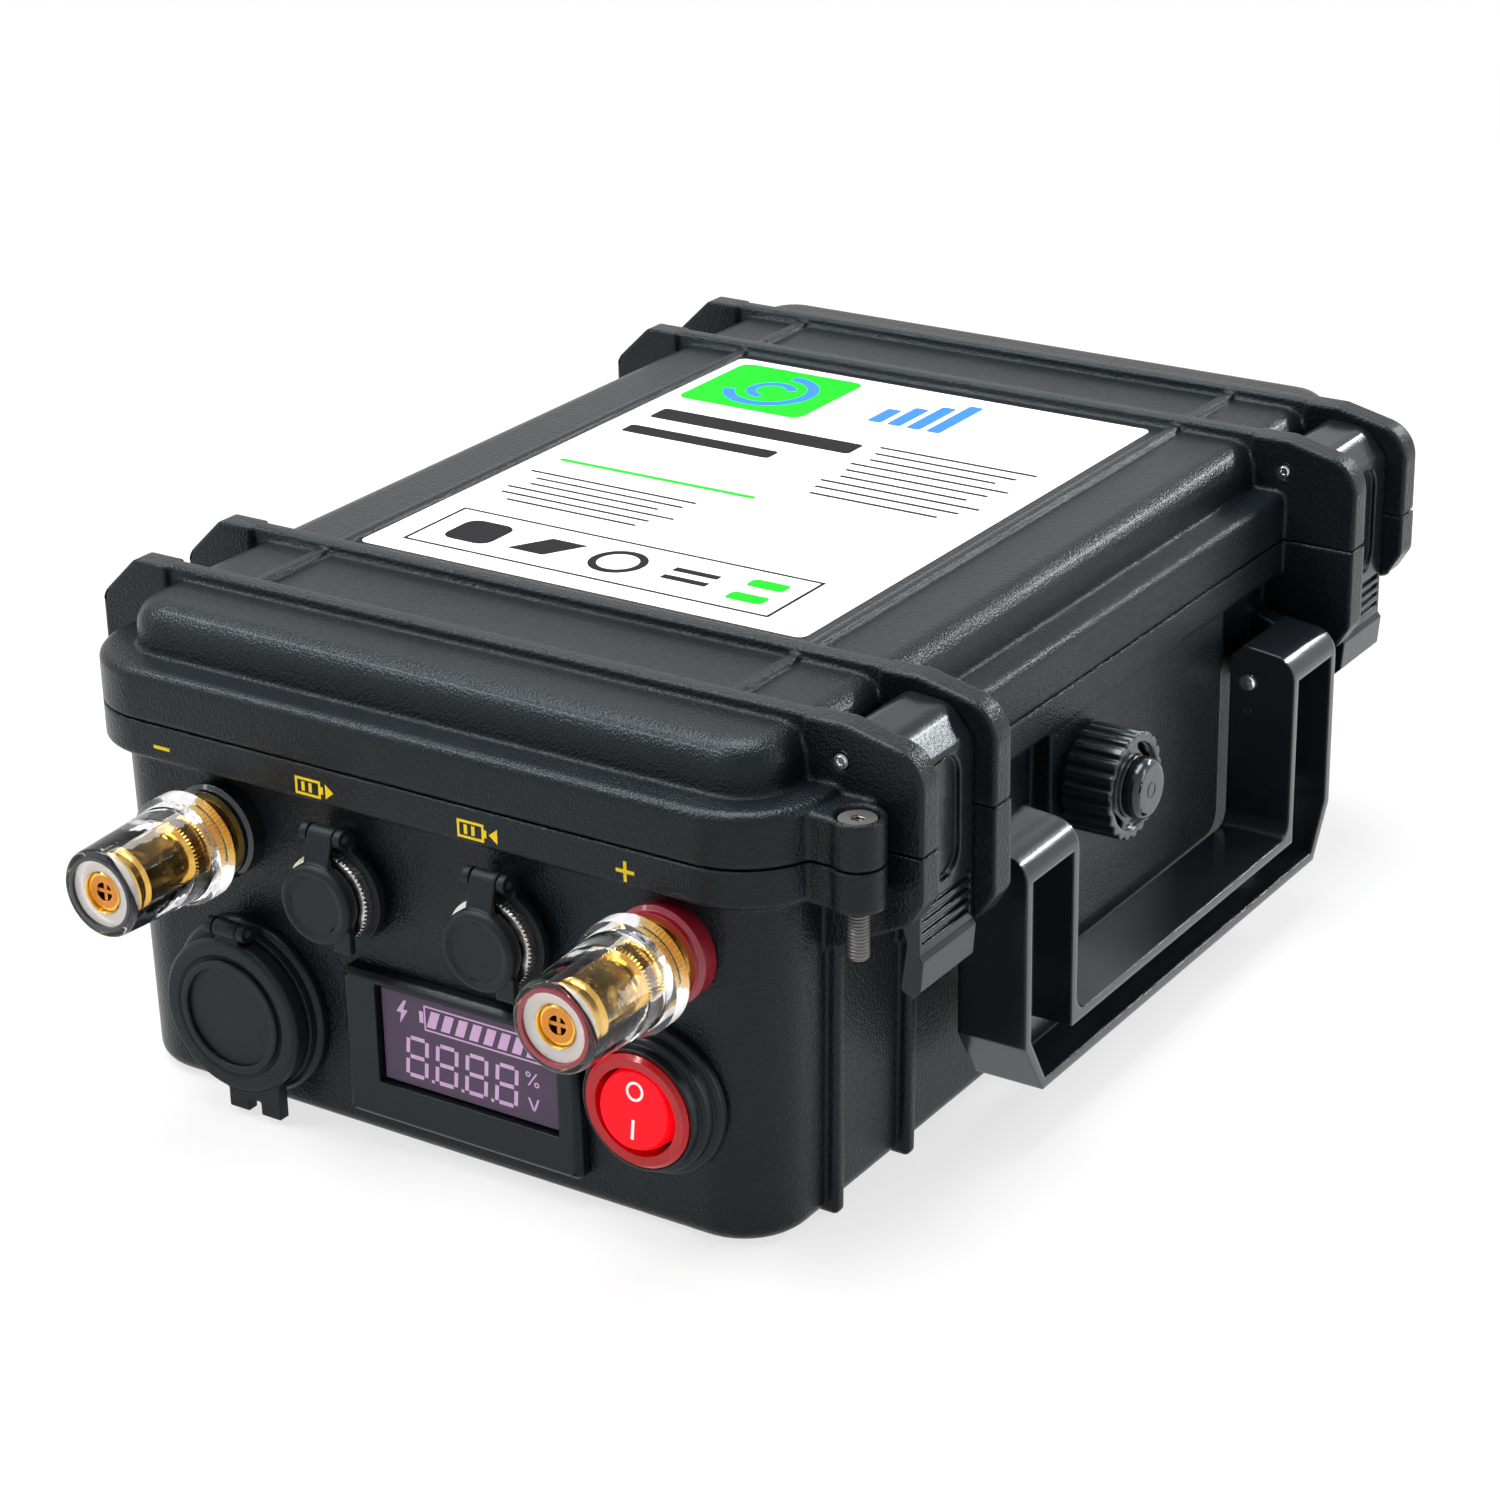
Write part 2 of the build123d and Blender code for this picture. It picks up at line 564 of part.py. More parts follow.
with BuildPart() as lid_shell:
    with BuildSketch(Plane.XY.offset(LID_Z)):
        band_outline()
    extrude(amount=LID_BAND)
    fillet(lid_shell.edges().group_by(Axis.Z)[-1], 2.2)
    # domed top
    with BuildSketch(Plane.XY.offset(BAND_TOP - 1)):
        band_outline(DOME_INSET)
    extrude(amount=DOME_H + 1, taper=4)
    fillet(lid_shell.edges().group_by(Axis.Z)[-1], DOME_R)
    # ridges along the top, between the outer ribs
    with BuildSketch(Plane.XY.offset(DOME_TOP - 1)):
        with Locations((-RIDGE_X, 0), (RIDGE_X, 0)):
            Rectangle(RIDGE_W, 2 * OUTER_RIB_Y)
    extrude(amount=RIDGE_H + 1)
    for end in MIRRORED:
        for rib_y in (end * INNER_RIB_Y, end * OUTER_RIB_Y):
            with BuildSketch(across(rib_y)):
                with Locations((0, (BAND_TOP + RIB_TOP) / 2)):
                    Rectangle(CASE_W - 6, RIB_TOP - BAND_TOP)
            extrude(amount=RIB_T / 2, both=True)
            lid_guard(rib_y)
            lid_ear(rib_y)
        # padlock eye
        with BuildSketch(Plane.XY.offset(LID_Z)):
            with Locations((EYE_X, end * EYE_Y)):
                Circle(EYE_R)
            with Locations(((HALF_W - 6 + EYE_X) / 2, end * (EYE_Y + OUTER_RIB_Y) / 2)):
                Rectangle(EYE_X - HALF_W + 6, EYE_Y - OUTER_RIB_Y)
            with Locations(((HALF_W - 6 + EYE_X) / 2, end * EYE_Y)):
                Rectangle(EYE_X - HALF_W + 6, 2 * EYE_R * 0.82)
        extrude(amount=EYE_HIGH)
    # hollow under the band and under the dome
    with BuildSketch(Plane.XY.offset(LID_Z)):
        band_outline(SETBACK + WALL)
    extrude(amount=LID_BAND - 2.0, mode=Mode.SUBTRACT)
    with BuildSketch(Plane.XY.offset(BAND_TOP - 2.5)) as hollow:
        band_outline(DOME_INSET + WALL + 0.6)
    extrude(amount=DOME_TOP - WALL - BAND_TOP + 2.5, taper=8, mode=Mode.SUBTRACT)
    # groove for the tongue and the gasket
    with BuildSketch(Plane.XY.offset(LID_Z)):
        band_outline(TONGUE_INSET - GROOVE_CLEAR)
        RectangleRounded(
            CASE_W - 2 * (TONGUE_INSET + TONGUE_T + GROOVE_CLEAR),
            CASE_L - 2 * (TONGUE_INSET + TONGUE_T + GROOVE_CLEAR),
            BAND_R - TONGUE_INSET - TONGUE_T - GROOVE_CLEAR,
            mode=Mode.SUBTRACT,
        )
    extrude(amount=TONGUE_H + GASKET_T + 0.2, mode=Mode.SUBTRACT)
    for end in MIRRORED:
        # bore for the hinge pin
        with BuildSketch(across(end * LATCH_Y)):
            with Locations((HINGE_X, BASE_H)):
                Circle(PIN_R + PIN_FIT)
        extrude(amount=CHEEK + GUARD_T + 1, both=True, mode=Mode.SUBTRACT)
        with BuildSketch(across(end * LATCH_Y)):
            with Locations((LATCH_PIN_X, LATCH_PIN_Z)):
                Circle(PIN_R + PIN_FIT)
        extrude(amount=CHEEK + GUARD_T + 1, both=True, mode=Mode.SUBTRACT)
        with BuildSketch(Plane.XY.offset(LID_Z + EYE_HIGH)):
            with Locations((EYE_X, end * EYE_Y)):
                Circle(BOLT_R + BOLT_FIT)
        extrude(amount=-EYE_HIGH, mode=Mode.SUBTRACT)
        with BuildSketch(Plane.XY.offset(LID_Z + EYE_HIGH)):
            with Locations((EYE_X, end * EYE_Y)):
                Circle(BOLT_HEAD_R + 0.5)
        extrude(amount=-BOLT_HEAD_H - 0.8, mode=Mode.SUBTRACT)
keep(lid_shell, "lid_shell")

with BuildPart() as lid_gasket:
    inner_inset = TONGUE_INSET + TONGUE_T + GROOVE_CLEAR - GASKET_CLEAR
    with BuildSketch(Plane.XY.offset(BASE_H + TONGUE_H + PART_GAP)):
        band_outline(TONGUE_INSET - GROOVE_CLEAR + GASKET_CLEAR)
        RectangleRounded(
            CASE_W - 2 * inner_inset, CASE_L - 2 * inner_inset, BAND_R - inner_inset, mode=Mode.SUBTRACT
        )
    extrude(amount=GASKET_T)
keep(lid_gasket, "lid_gasket")

with BuildPart() as lid_pad:
    with BuildSketch(Plane.XY.offset(DOME_TOP - WALL)):
        RectangleRounded(PACK_W, PACK_L, HOLDER_R)
    extrude(amount=-LID_FOAM_T)
keep(lid_pad, "lid_foam_pad")


# --------------------------------------------------------------------- pins
with BuildPart() as hinge_pins:
    for end in MIRRORED:
        with BuildSketch(across(end * LATCH_Y)) as section:
            with Locations((HINGE_X, BASE_H)):
                Circle(PIN_R)
        extrude(amount=CHEEK + GUARD_T, both=True)
keep(hinge_pins, "hinge_pins")

with BuildPart() as latch_pins:
    for end in MIRRORED:
        with BuildSketch(across(end * LATCH_Y)):
            with Locations((LATCH_PIN_X, LATCH_PIN_Z)):
                Circle(PIN_R)
        extrude(amount=CHEEK + GUARD_T, both=True)
keep(latch_pins, "latch_pins")

with BuildPart() as handle_pins:
    for end in MIRRORED:
        with BuildSketch(across(end * (LUG_Y + LUG_T / 2))):
            with Locations((HANDLE_PIN_X, HANDLE_PIN_UP)):
                Circle(HANDLE_PIN_R)
        extrude(amount=end * (HANDLE_ARM + SIDE_CLEAR + LUG_T))
keep(handle_pins, "handle_pins")

with BuildPart() as padlock_bolts:
    head_seat = LID_Z + EYE_HIGH - BOLT_HEAD_H - 0.8
    with BuildSketch(Plane.XY.offset(head_seat)):
        with Locations((EYE_X, -EYE_Y), (EYE_X, EYE_Y)):
            Circle(BOLT_HEAD_R)
    extrude(amount=BOLT_HEAD_H)
    with BuildSketch(Plane.XY.offset(head_seat + BOLT_HEAD_H)):
        with Locations((EYE_X, -EYE_Y), (EYE_X, EYE_Y)):
            RegularPolygon(1.5, 6)
    extrude(amount=-1.4, mode=Mode.SUBTRACT)
    with BuildSketch(Plane.XY.offset(head_seat)):
        with Locations((EYE_X, -EYE_Y), (EYE_X, EYE_Y)):
            Circle(BOLT_R)
    extrude(amount=-(head_seat - BASE_H + BOLT_TIP))
    chamfer(padlock_bolts.edges().group_by(Axis.Z)[0], 0.5)
keep(padlock_bolts, "padlock_bolts")


# ------------------------------------------------------------------- latches
def latch(y, name):
    """One over-centre latch: hub on its pin, curved skin, side webs, hook and lip."""
    low = BASE_H - LATCH_LOW
    inner = LATCH_X - LATCH_SKIN
    half = CHEEK - SIDE_CLEAR
    with BuildPart() as lever:
        with BuildSketch(across(y)) as skin:
            with BuildLine():
                Polyline(
                    (LATCH_PIN_X, LATCH_PIN_Z + LATCH_HUB_R),
                    (LATCH_X - 5.0, LATCH_PIN_Z + LATCH_HUB_R - 0.6),
                    (LATCH_X, LATCH_PIN_Z - 2.0),
                    (LATCH_X, BASE_H - 23.5),
                    (LATCH_X + 0.8, BASE_H - 24.5),
                    (LATCH_X + 0.2, low + 2.0),
                    (LATCH_X - 1.8, low),
                    (LATCH_X - 4.4, low + 1.6),
                    (inner, BASE_H - 22.0),
                    (inner, LATCH_PIN_Z - 3.6),
                    (LATCH_X - 6.6, LATCH_PIN_Z + 1.0),
                    (LATCH_PIN_X, LATCH_PIN_Z + 1.0),
                    close=True,
                )
            make_face()
            fillet(nearest(skin.vertices(), LATCH_X - 5.0, LATCH_PIN_Z + LATCH_HUB_R - 0.6), 5.0)
            fillet(nearest(skin.vertices(), LATCH_X, LATCH_PIN_Z - 2.0), 2.5)
            with Locations((LATCH_PIN_X, LATCH_PIN_Z)):
                Circle(LATCH_HUB_R)
        extrude(skin.sketch, amount=half, both=True)
        for side in MIRRORED:
            with BuildSketch(across(y + side * (half - LATCH_WEB / 2))) as web:
                with BuildLine():
                    Polyline(
                        (LATCH_PIN_X + 1.0, LATCH_PIN_Z - LATCH_HUB_R + 0.2),
                        (HALF_W + 0.9, BASE_H + 4.0),
                        (LATCH_X - 7.0, BASE_H - 10.0),
                        (inner + 0.5, BASE_H - 22.0),
                        (inner + 0.5, LATCH_PIN_Z),
                        (LATCH_PIN_X, LATCH_PIN_Z + 1.0),
                        close=True,
                    )
                make_face()
            extrude(web.sketch, amount=LATCH_WEB / 2, both=True)
        # hook that ends just outside the catch
        with BuildSketch(across(y)) as hook:
            with BuildLine():
                Polyline(
                    (HALF_W + CATCH_OUT + 0.5, BASE_H - 9.6),
                    (inner + 0.5, BASE_H - 8.2),
                    (inner + 0.5, BASE_H - 13.6),
                    (HALF_W + CATCH_OUT + 0.5, BASE_H - 12.0),
                    close=True,
                )
            make_face()
        extrude(hook.sketch, amount=CATCH_W / 2, both=True)
        # pin bore, thumb recess and grip grooves
        with BuildSketch(across(y)) as bore:
            with Locations((LATCH_PIN_X, LATCH_PIN_Z)):
                Circle(PIN_R + PIN_FIT)
        extrude(bore.sketch, amount=half + 1, both=True, mode=Mode.SUBTRACT)
        with BuildSketch(on_side(y, BASE_H + 1.2, LATCH_X)) as recess:
            SlotOverall(25.0, 10.5, rotation=90)
        extrude(recess.sketch, amount=-1.2, mode=Mode.SUBTRACT)
        with BuildSketch(on_side(y, BASE_H - 17.6, LATCH_X)) as grooves:
            with GridLocations(1, 2.3, 1, 4):
                Rectangle(2 * half - 2.4, 1.1)
        extrude(grooves.sketch, amount=-0.9, mode=Mode.SUBTRACT)
    keep(lever, name)
    return lever


latch_front = latch(-LATCH_Y, "latch_front")
latch_rear = latch(LATCH_Y, "latch_rear")

# -------------------------------------------------------------- carry handle
with BuildPart() as carry_handle:
    handle_top = HANDLE_PIN_UP + HANDLE_TOP
    channel_top = handle_top - HANDLE_CAP
    with BuildSketch(Plane.YZ.offset(HANDLE_X0)):
        with BuildLine():
            Polyline(
                (-HANDLE_HALF, handle_top),
                (-HANDLE_HALF, HANDLE_Z0 + HANDLE_CUT),
                (-HANDLE_HALF + HANDLE_CUT * 0.6, HANDLE_Z0),
                (HANDLE_HALF - HANDLE_CUT * 0.6, HANDLE_Z0),
                (HANDLE_HALF, HANDLE_Z0 + HANDLE_CUT),
                (HANDLE_HALF, handle_top),
                (HANDLE_INNER, handle_top),
                (HANDLE_INNER, HANDLE_Z0 + HANDLE_BAR),
                (-HANDLE_INNER, HANDLE_Z0 + HANDLE_BAR),
                (-HANDLE_INNER, handle_top),
                close=True,
            )
        make_face()
    extrude(amount=HANDLE_D)
    # open channels front and back leave a web between two flanges
    web_front = HANDLE_PIN_X + HANDLE_WEB / 2
    web_back = HANDLE_PIN_X - HANDLE_WEB / 2
    for face_x, web_x in ((HANDLE_X1, web_front), (HANDLE_X0, web_back)):
        with BuildSketch(Plane.YZ.offset(face_x)):
            with BuildLine():
                Polyline(
                    (-HANDLE_HALF + HANDLE_SKIN, channel_top),
                    (-HANDLE_HALF + HANDLE_SKIN, HANDLE_Z0 + HANDLE_CUT + HANDLE_SKIN / 2),
                    (-HANDLE_HALF + HANDLE_CUT * 0.6 + HANDLE_SKIN / 2, HANDLE_Z0 + HANDLE_SKIN),
                    (HANDLE_HALF - HANDLE_CUT * 0.6 - HANDLE_SKIN / 2, HANDLE_Z0 + HANDLE_SKIN),
                    (HANDLE_HALF - HANDLE_SKIN, HANDLE_Z0 + HANDLE_CUT + HANDLE_SKIN / 2),
                    (HANDLE_HALF - HANDLE_SKIN, channel_top),
                    (HANDLE_INNER + HANDLE_SKIN, channel_top),
                    (HANDLE_INNER + HANDLE_SKIN, HANDLE_Z0 + HANDLE_BAR - HANDLE_SKIN),
                    (-HANDLE_INNER - HANDLE_SKIN, HANDLE_Z0 + HANDLE_BAR - HANDLE_SKIN),
                    (-HANDLE_INNER - HANDLE_SKIN, channel_top),
                    close=True,
                )
            make_face()
        extrude(amount=web_x - face_x, mode=Mode.SUBTRACT)
    # tube in each arm that the pin turns in
    for end in MIRRORED:
        with BuildSketch(across(end * (HANDLE_INNER + HANDLE_ARM / 2))):
            with Locations((HANDLE_PIN_X, HANDLE_PIN_UP)):
                Circle(HANDLE_HUB_R)
        extrude(amount=HANDLE_ARM / 2, both=True)
    # rounded tops of the arms
    with BuildSketch(across(0)) as side_view:
        with BuildLine():
            Polyline(
                (HANDLE_X0, 0),
                (HANDLE_X1, 0),
                (HANDLE_X1, handle_top - 1.5),
                (HANDLE_X0 + 3.0, handle_top),
                (HANDLE_X0, handle_top - 3.0),
                close=True,
            )
        make_face()
        fillet(nearest(side_view.vertices(), HANDLE_X1, handle_top - 1.5), HANDLE_TOP_R)
    extrude(amount=HANDLE_HALF + 1, both=True, mode=Mode.INTERSECT)
    for end in MIRRORED:
        with BuildSketch(across(end * (HANDLE_INNER + HANDLE_ARM / 2))):
            with Locations((HANDLE_PIN_X, HANDLE_PIN_UP)):
                Circle(HANDLE_PIN_R + PIN_FIT)
        extrude(amount=HANDLE_ARM / 2 + 1, both=True, mode=Mode.SUBTRACT)
    grip_top = HANDLE_Z0 + HANDLE_BAR
    window_edges = carry_handle.edges().filter_by(Axis.X)
    window_edges = window_edges.filter_by_position(Axis.Z, grip_top - 0.5, grip_top + 0.5)
    window_edges = window_edges.filter_by_position(Axis.Y, -HANDLE_INNER - 0.5, HANDLE_INNER + 0.5)
    fillet(window_edges, HANDLE_CORNER)
keep(carry_handle, "carry_handle")

# -------------------------------------------------------------- relief valve
valve_face = PAD_X + 0.8                      # front of the valve's flange
knob_back = valve_face + PART_GAP
knob_front = knob_back + VALVE_KNOB_D
cap_back = knob_front + PART_GAP
wall_inside = HALF_W - SETBACK - DRAFT - WALL

with BuildPart() as valve_body:
    side_turned(
        (
            (VALVE_VENT_R, wall_inside - 5.5),
            (VALVE_TUBE_R, wall_inside - 5.5),
            (VALVE_TUBE_R, PAD_X),
            (VALVE_KNOB_R - 2.0, PAD_X),
            (VALVE_KNOB_R - 2.0, valve_face),
            (VALVE_SPINDLE_R, valve_face),
            (VALVE_SPINDLE_R, cap_back),
            (VALVE_VENT_R, cap_back),
        ),
        VALVE_Y,
        VALVE_Z,
    )
keep(valve_body, "valve_body")

with BuildPart() as valve_nut:
    with BuildSketch(on_side(VALVE_Y, VALVE_Z, wall_inside)):
        RegularPolygon(VALVE_TUBE_R + 4.0, 6)
        Circle(VALVE_TUBE_R + PIN_FIT, mode=Mode.SUBTRACT)
    extrude(amount=-NUT_T)
keep(valve_nut, "valve_nut")

with BuildPart() as valve_knob:
    with BuildSketch(on_side(VALVE_Y, VALVE_Z, knob_back)):
        Circle(VALVE_KNOB_R)
        with PolarLocations(VALVE_KNOB_R, VALVE_GRIPS):
            Circle(0.75, mode=Mode.SUBTRACT)
        Circle(VALVE_SPINDLE_R + PIN_FIT, mode=Mode.SUBTRACT)
    extrude(amount=VALVE_KNOB_D)
    # ring-shaped dish in the front, with a raised middle and two crescent vents
    with BuildSketch(on_side(VALVE_Y, VALVE_Z, knob_front)):
        Circle(VALVE_KNOB_R - 2.2)
        Circle(VALVE_CAP_R, mode=Mode.SUBTRACT)
    extrude(amount=-1.2, mode=Mode.SUBTRACT)
    with BuildSketch(on_side(VALVE_Y, VALVE_Z, knob_front)):
        with PolarLocations((VALVE_KNOB_R - 2.2 + VALVE_CAP_R) / 2, 2, start_angle=45):
            SlotOverall(7.0, 1.4, rotation=90)
    extrude(amount=-4.0, mode=Mode.SUBTRACT)
keep(valve_knob, "valve_knob")

with BuildPart() as valve_cap:
    side_turned(
        (
            (0, cap_back),
            (VALVE_CAP_R, cap_back),
            (VALVE_CAP_R, cap_back + VALVE_CAP_D - 1.0),
            (VALVE_CAP_R - 1.0, cap_back + VALVE_CAP_D),
            (0, cap_back + VALVE_CAP_D),
        ),
        VALVE_Y,
        VALVE_Z,
    )
keep(valve_cap, "valve_cap")


# ------------------------------------------------------------- binding posts
flange_out = COLLAR_T + STUD_FLANGE_T          # front of the stud's flange
clamp_out = flange_out + CLAMP_GAP             # back of the clamp washer
knob_out = clamp_out + CLAMP_T + CLAMP_GAP     # back of the knob
tip_out = knob_out + KNOB_LEN                  # front of the knob
stud_tip = tip_out - 1.5                       # end of the stud, inside the knob
sleeve_bore = KNOB_CORE_R + PIN_FIT

for x, pole in zip(POST_X, ("negative", "positive")):
    with BuildPart() as collar:
        turned(
            (
                (STUD_R + PIN_FIT, -WALL),
                (POST_HOLE - PANEL_FIT, -WALL),
                (POST_HOLE - PANEL_FIT, 0),
                (COLLAR_R, 0),
                (COLLAR_R, COLLAR_T - 1.8),
                (COLLAR_R - 0.9, COLLAR_T - 1.2),
                (COLLAR_R - 0.9, COLLAR_T),
                (STUD_R + PIN_FIT, COLLAR_T),
            ),
            x,
            POST_DROP,
        )
    keep(collar, f"{pole}_collar")

    with BuildPart() as stud:
        turned(
            (
                (0, -STUD_IN),
                (STUD_R - 0.5, -STUD_IN),
                (STUD_R, 0.5 - STUD_IN),
                (STUD_R, COLLAR_T),
                (STUD_FLANGE_R, COLLAR_T),
                (STUD_FLANGE_R, flange_out),
                (STUD_R, flange_out),
                (STUD_R, stud_tip),
                (PLUG_R, stud_tip),
                (PLUG_R, stud_tip - PLUG_DEPTH),
                (0, stud_tip - PLUG_DEPTH),
            ),
            x,
            POST_DROP,
        )
    keep(stud, f"{pole}_stud")

    with BuildPart() as clamp:
        turned(tube_profile(STUD_R + PIN_FIT, CLAMP_R, clamp_out, clamp_out + CLAMP_T), x, POST_DROP)
    keep(clamp, f"{pole}_clamp_washer")

    with BuildPart() as core:
        turned(
            (
                (STUD_R + PIN_FIT, knob_out),
                (KNOB_CORE_R, knob_out),
                (KNOB_CORE_R, tip_out),
                (KNOB_CORE_R - 1.6, tip_out),
                (STUD_R + PIN_FIT, tip_out - 0.8),
            ),
            x,
            POST_DROP,
        )
        # flats along the middle of the core
        with BuildSketch(on_panel(x, POST_DROP, knob_out + KNOB_RIM_T)):
            Circle(KNOB_CORE_R + 1)
            RegularPolygon(KNOB_CORE_R, 8, mode=Mode.SUBTRACT)
        extrude(amount=KNOB_LEN - KNOB_RIM_T - 4.0, mode=Mode.SUBTRACT)
    keep(core, f"{pole}_knob_core")

    with BuildPart() as sleeve:
        turned(
            (
                (sleeve_bore, knob_out + 0.4),
                (KNOB_RIM_R, knob_out + 0.4),
                (KNOB_RIM_R, knob_out + KNOB_RIM_T - 1.0),
                (KNOB_BODY_R, knob_out + KNOB_RIM_T),
                (KNOB_TIP_R, tip_out - 0.6),
                (KNOB_TIP_R - 0.6, tip_out),
                (sleeve_bore + 0.9, tip_out),
                (sleeve_bore + 0.9, tip_out - TIP_RING_T),
                (sleeve_bore, tip_out - TIP_RING_T),
            ),
            x,
            POST_DROP,
        )
    keep(sleeve, f"{pole}_knob_sleeve")

    with BuildPart() as tip_ring:
        turned(
            tube_profile(sleeve_bore, sleeve_bore + 0.9 - PIN_FIT, tip_out - TIP_RING_T, tip_out),
            x,
            POST_DROP,
        )
    keep(tip_ring, f"{pole}_tip_ring")

nut_out = WALL + BUSH_T
with BuildPart() as bushes:
    for x in POST_X:
        turned(tube_profile(STUD_R + PIN_FIT, STUD_R + 2.4, -nut_out, -WALL), x, POST_DROP)
keep(bushes, "post_bushes")

lug_out = nut_out + NUT_T
with BuildPart() as post_nuts:
    for x in POST_X:
        for back in (nut_out, lug_out + CRIMP_T):
            with BuildSketch(on_panel(x, POST_DROP, -back)):
                RegularPolygon(STUD_R + 3.0, 6)
                Circle(STUD_R + PIN_FIT, mode=Mode.SUBTRACT)
            extrude(amount=-NUT_T)
keep(post_nuts, "post_nuts")

crimp_y = PANEL_Y + lug_out + CRIMP_T / 2
crimp_low = BASE_H - POST_DROP + 7.5
crimp_high = crimp_low + 7.0
with BuildPart() as post_lugs:
    for x in POST_X:
        with BuildSketch(on_panel(x, POST_DROP, -lug_out)):
            Circle(STUD_R + 2.5)
            with Locations((0, 5.0)):
                Rectangle(2 * STUD_R, 8.0)
            Circle(STUD_R + PIN_FIT, mode=Mode.SUBTRACT)
        extrude(amount=-CRIMP_T)
        with BuildSketch(Plane.XY.offset(crimp_low)):
            with Locations((x, crimp_y)):
                Circle(LEAD_R + 0.9)
        extrude(amount=crimp_high - crimp_low)
        with BuildSketch(Plane.XY.offset(crimp_low + 1.0)):
            with Locations((x, crimp_y)):
                Circle(LEAD_R + PIN_FIT)
        extrude(amount=crimp_high - crimp_low, mode=Mode.SUBTRACT)
keep(post_lugs, "post_lugs")


# -------------------------------------------- round charge and output sockets
with BuildPart() as round_sockets:
    for x in ROUND_X:
        turned(
            (
                (0, -ROUND_IN),
                (ROUND_BARREL_R, -ROUND_IN),
                (ROUND_BARREL_R, 0),
                (ROUND_FLANGE_R, 0),
                (ROUND_FLANGE_R, ROUND_FLANGE_T),
                (ROUND_BARREL_R, ROUND_FLANGE_T),
                (ROUND_BARREL_R, ROUND_OUT - 0.4),
                (ROUND_BARREL_R - 0.4, ROUND_OUT),
                (ROUND_BORE_R, ROUND_OUT),
                (ROUND_BORE_R, 4.0 - ROUND_IN),
                (0, 4.0 - ROUND_IN),
            ),
            x,
            ROUND_DROP,
        )
keep(round_sockets, "round_sockets")

with BuildPart() as round_inserts:
    for x in ROUND_X:
        turned(
            (
                (0, 4.0 - ROUND_IN),
                (ROUND_BORE_R - PIN_FIT, 4.0 - ROUND_IN),
                (ROUND_BORE_R - PIN_FIT, INSERT_FACE),
                (0, INSERT_FACE),
            ),
            x,
            ROUND_DROP,
        )
        with BuildSketch(on_panel(x, ROUND_DROP, INSERT_FACE)):
            with PolarLocations(3.4, 3, start_angle=90):
                Circle(0.9)
        extrude(amount=3.5)
keep(round_inserts, "round_inserts")

with BuildPart() as round_nuts:
    for x in ROUND_X:
        with BuildSketch(on_panel(x, ROUND_DROP, -WALL)):
            RegularPolygon(ROUND_BARREL_R + 3.2, 6)
            Circle(ROUND_BARREL_R + PIN_FIT, mode=Mode.SUBTRACT)
        extrude(amount=-NUT_T)
keep(round_nuts, "round_nuts")


def strap_lugs(x, drop, up, ring_in, ring_out, low, high, pin_out):
    """Rubber ring round a socket, with two lugs that carry the cap's pin."""
    turned(tube_profile(ring_in, ring_out, low, high), x, drop)
    for side in MIRRORED:
        centre = side * (STRAP_W / 2 + SIDE_CLEAR + STRAP_LUG_T / 2)
        with BuildSketch(Plane(origin=(x + centre, 0, 0), x_dir=(0, -1, 0), z_dir=(-1, 0, 0))) as lug:
            with BuildLine():
                Polyline(
                    (-PANEL_Y + low, BASE_H - drop + ring_out - 3.0),
                    (-PANEL_Y + high, BASE_H - drop + ring_out - 3.0),
                    (-PANEL_Y + high, BASE_H - drop + up - STRAP_BOSS_R),
                    (-PANEL_Y + pin_out, BASE_H - drop + up - STRAP_BOSS_R),
                    (-PANEL_Y + pin_out, BASE_H - drop + up + STRAP_BOSS_R),
                    (-PANEL_Y + low, BASE_H - drop + up),
                    close=True,
                )
            make_face()
            with Locations((-PANEL_Y + pin_out, BASE_H - drop + up)):
                Circle(STRAP_BOSS_R)
                Circle(STRAP_PIN_R + PIN_FIT, mode=Mode.SUBTRACT)
        extrude(lug.sketch, amount=STRAP_LUG_T / 2, both=True)


def strap_cap(x, drop, up, disc_r, stub_r, stub_len, back, thick, pin_out):
    """Rubber cap: stub, rimmed disc, and a strap up to the boss on its pin."""
    turned(
        (
            (0, back - stub_len),
            (stub_r - 0.4, back - stub_len),
            (stub_r, back - stub_len + 0.6),
            (stub_r, back),
            (disc_r, back),
            (disc_r, back + thick - 0.8),
            (disc_r - 0.8, back + thick),
            (disc_r * 0.8, back + thick),
            (disc_r * 0.8 - 0.5, back + thick - 0.5),
            (0, back + thick - 0.5),
        ),
        x,
        drop,
    )
    with BuildSketch(Plane(origin=(x, 0, 0), x_dir=(0, -1, 0), z_dir=(-1, 0, 0))) as strap:
        with BuildLine():
            Polyline(
                (-PANEL_Y + back + 0.2, BASE_H - drop + disc_r - 1.5),
                (-PANEL_Y + back + thick - 1.2, BASE_H - drop + disc_r - 1.5),
                (-PANEL_Y + pin_out + STRAP_BOSS_R * 0.9, BASE_H - drop + up + STRAP_BOSS_R * 0.4),
                (-PANEL_Y + pin_out - STRAP_BOSS_R * 0.3, BASE_H - drop + up),
                (-PANEL_Y + back + 0.2, BASE_H - drop + up - 2.6),
                close=True,
            )
        make_face()
        with Locations((-PANEL_Y + pin_out, BASE_H - drop + up)):
            Circle(STRAP_BOSS_R)
            Circle(STRAP_PIN_R + PIN_FIT, mode=Mode.SUBTRACT)
    extrude(strap.sketch, amount=STRAP_W / 2, both=True)


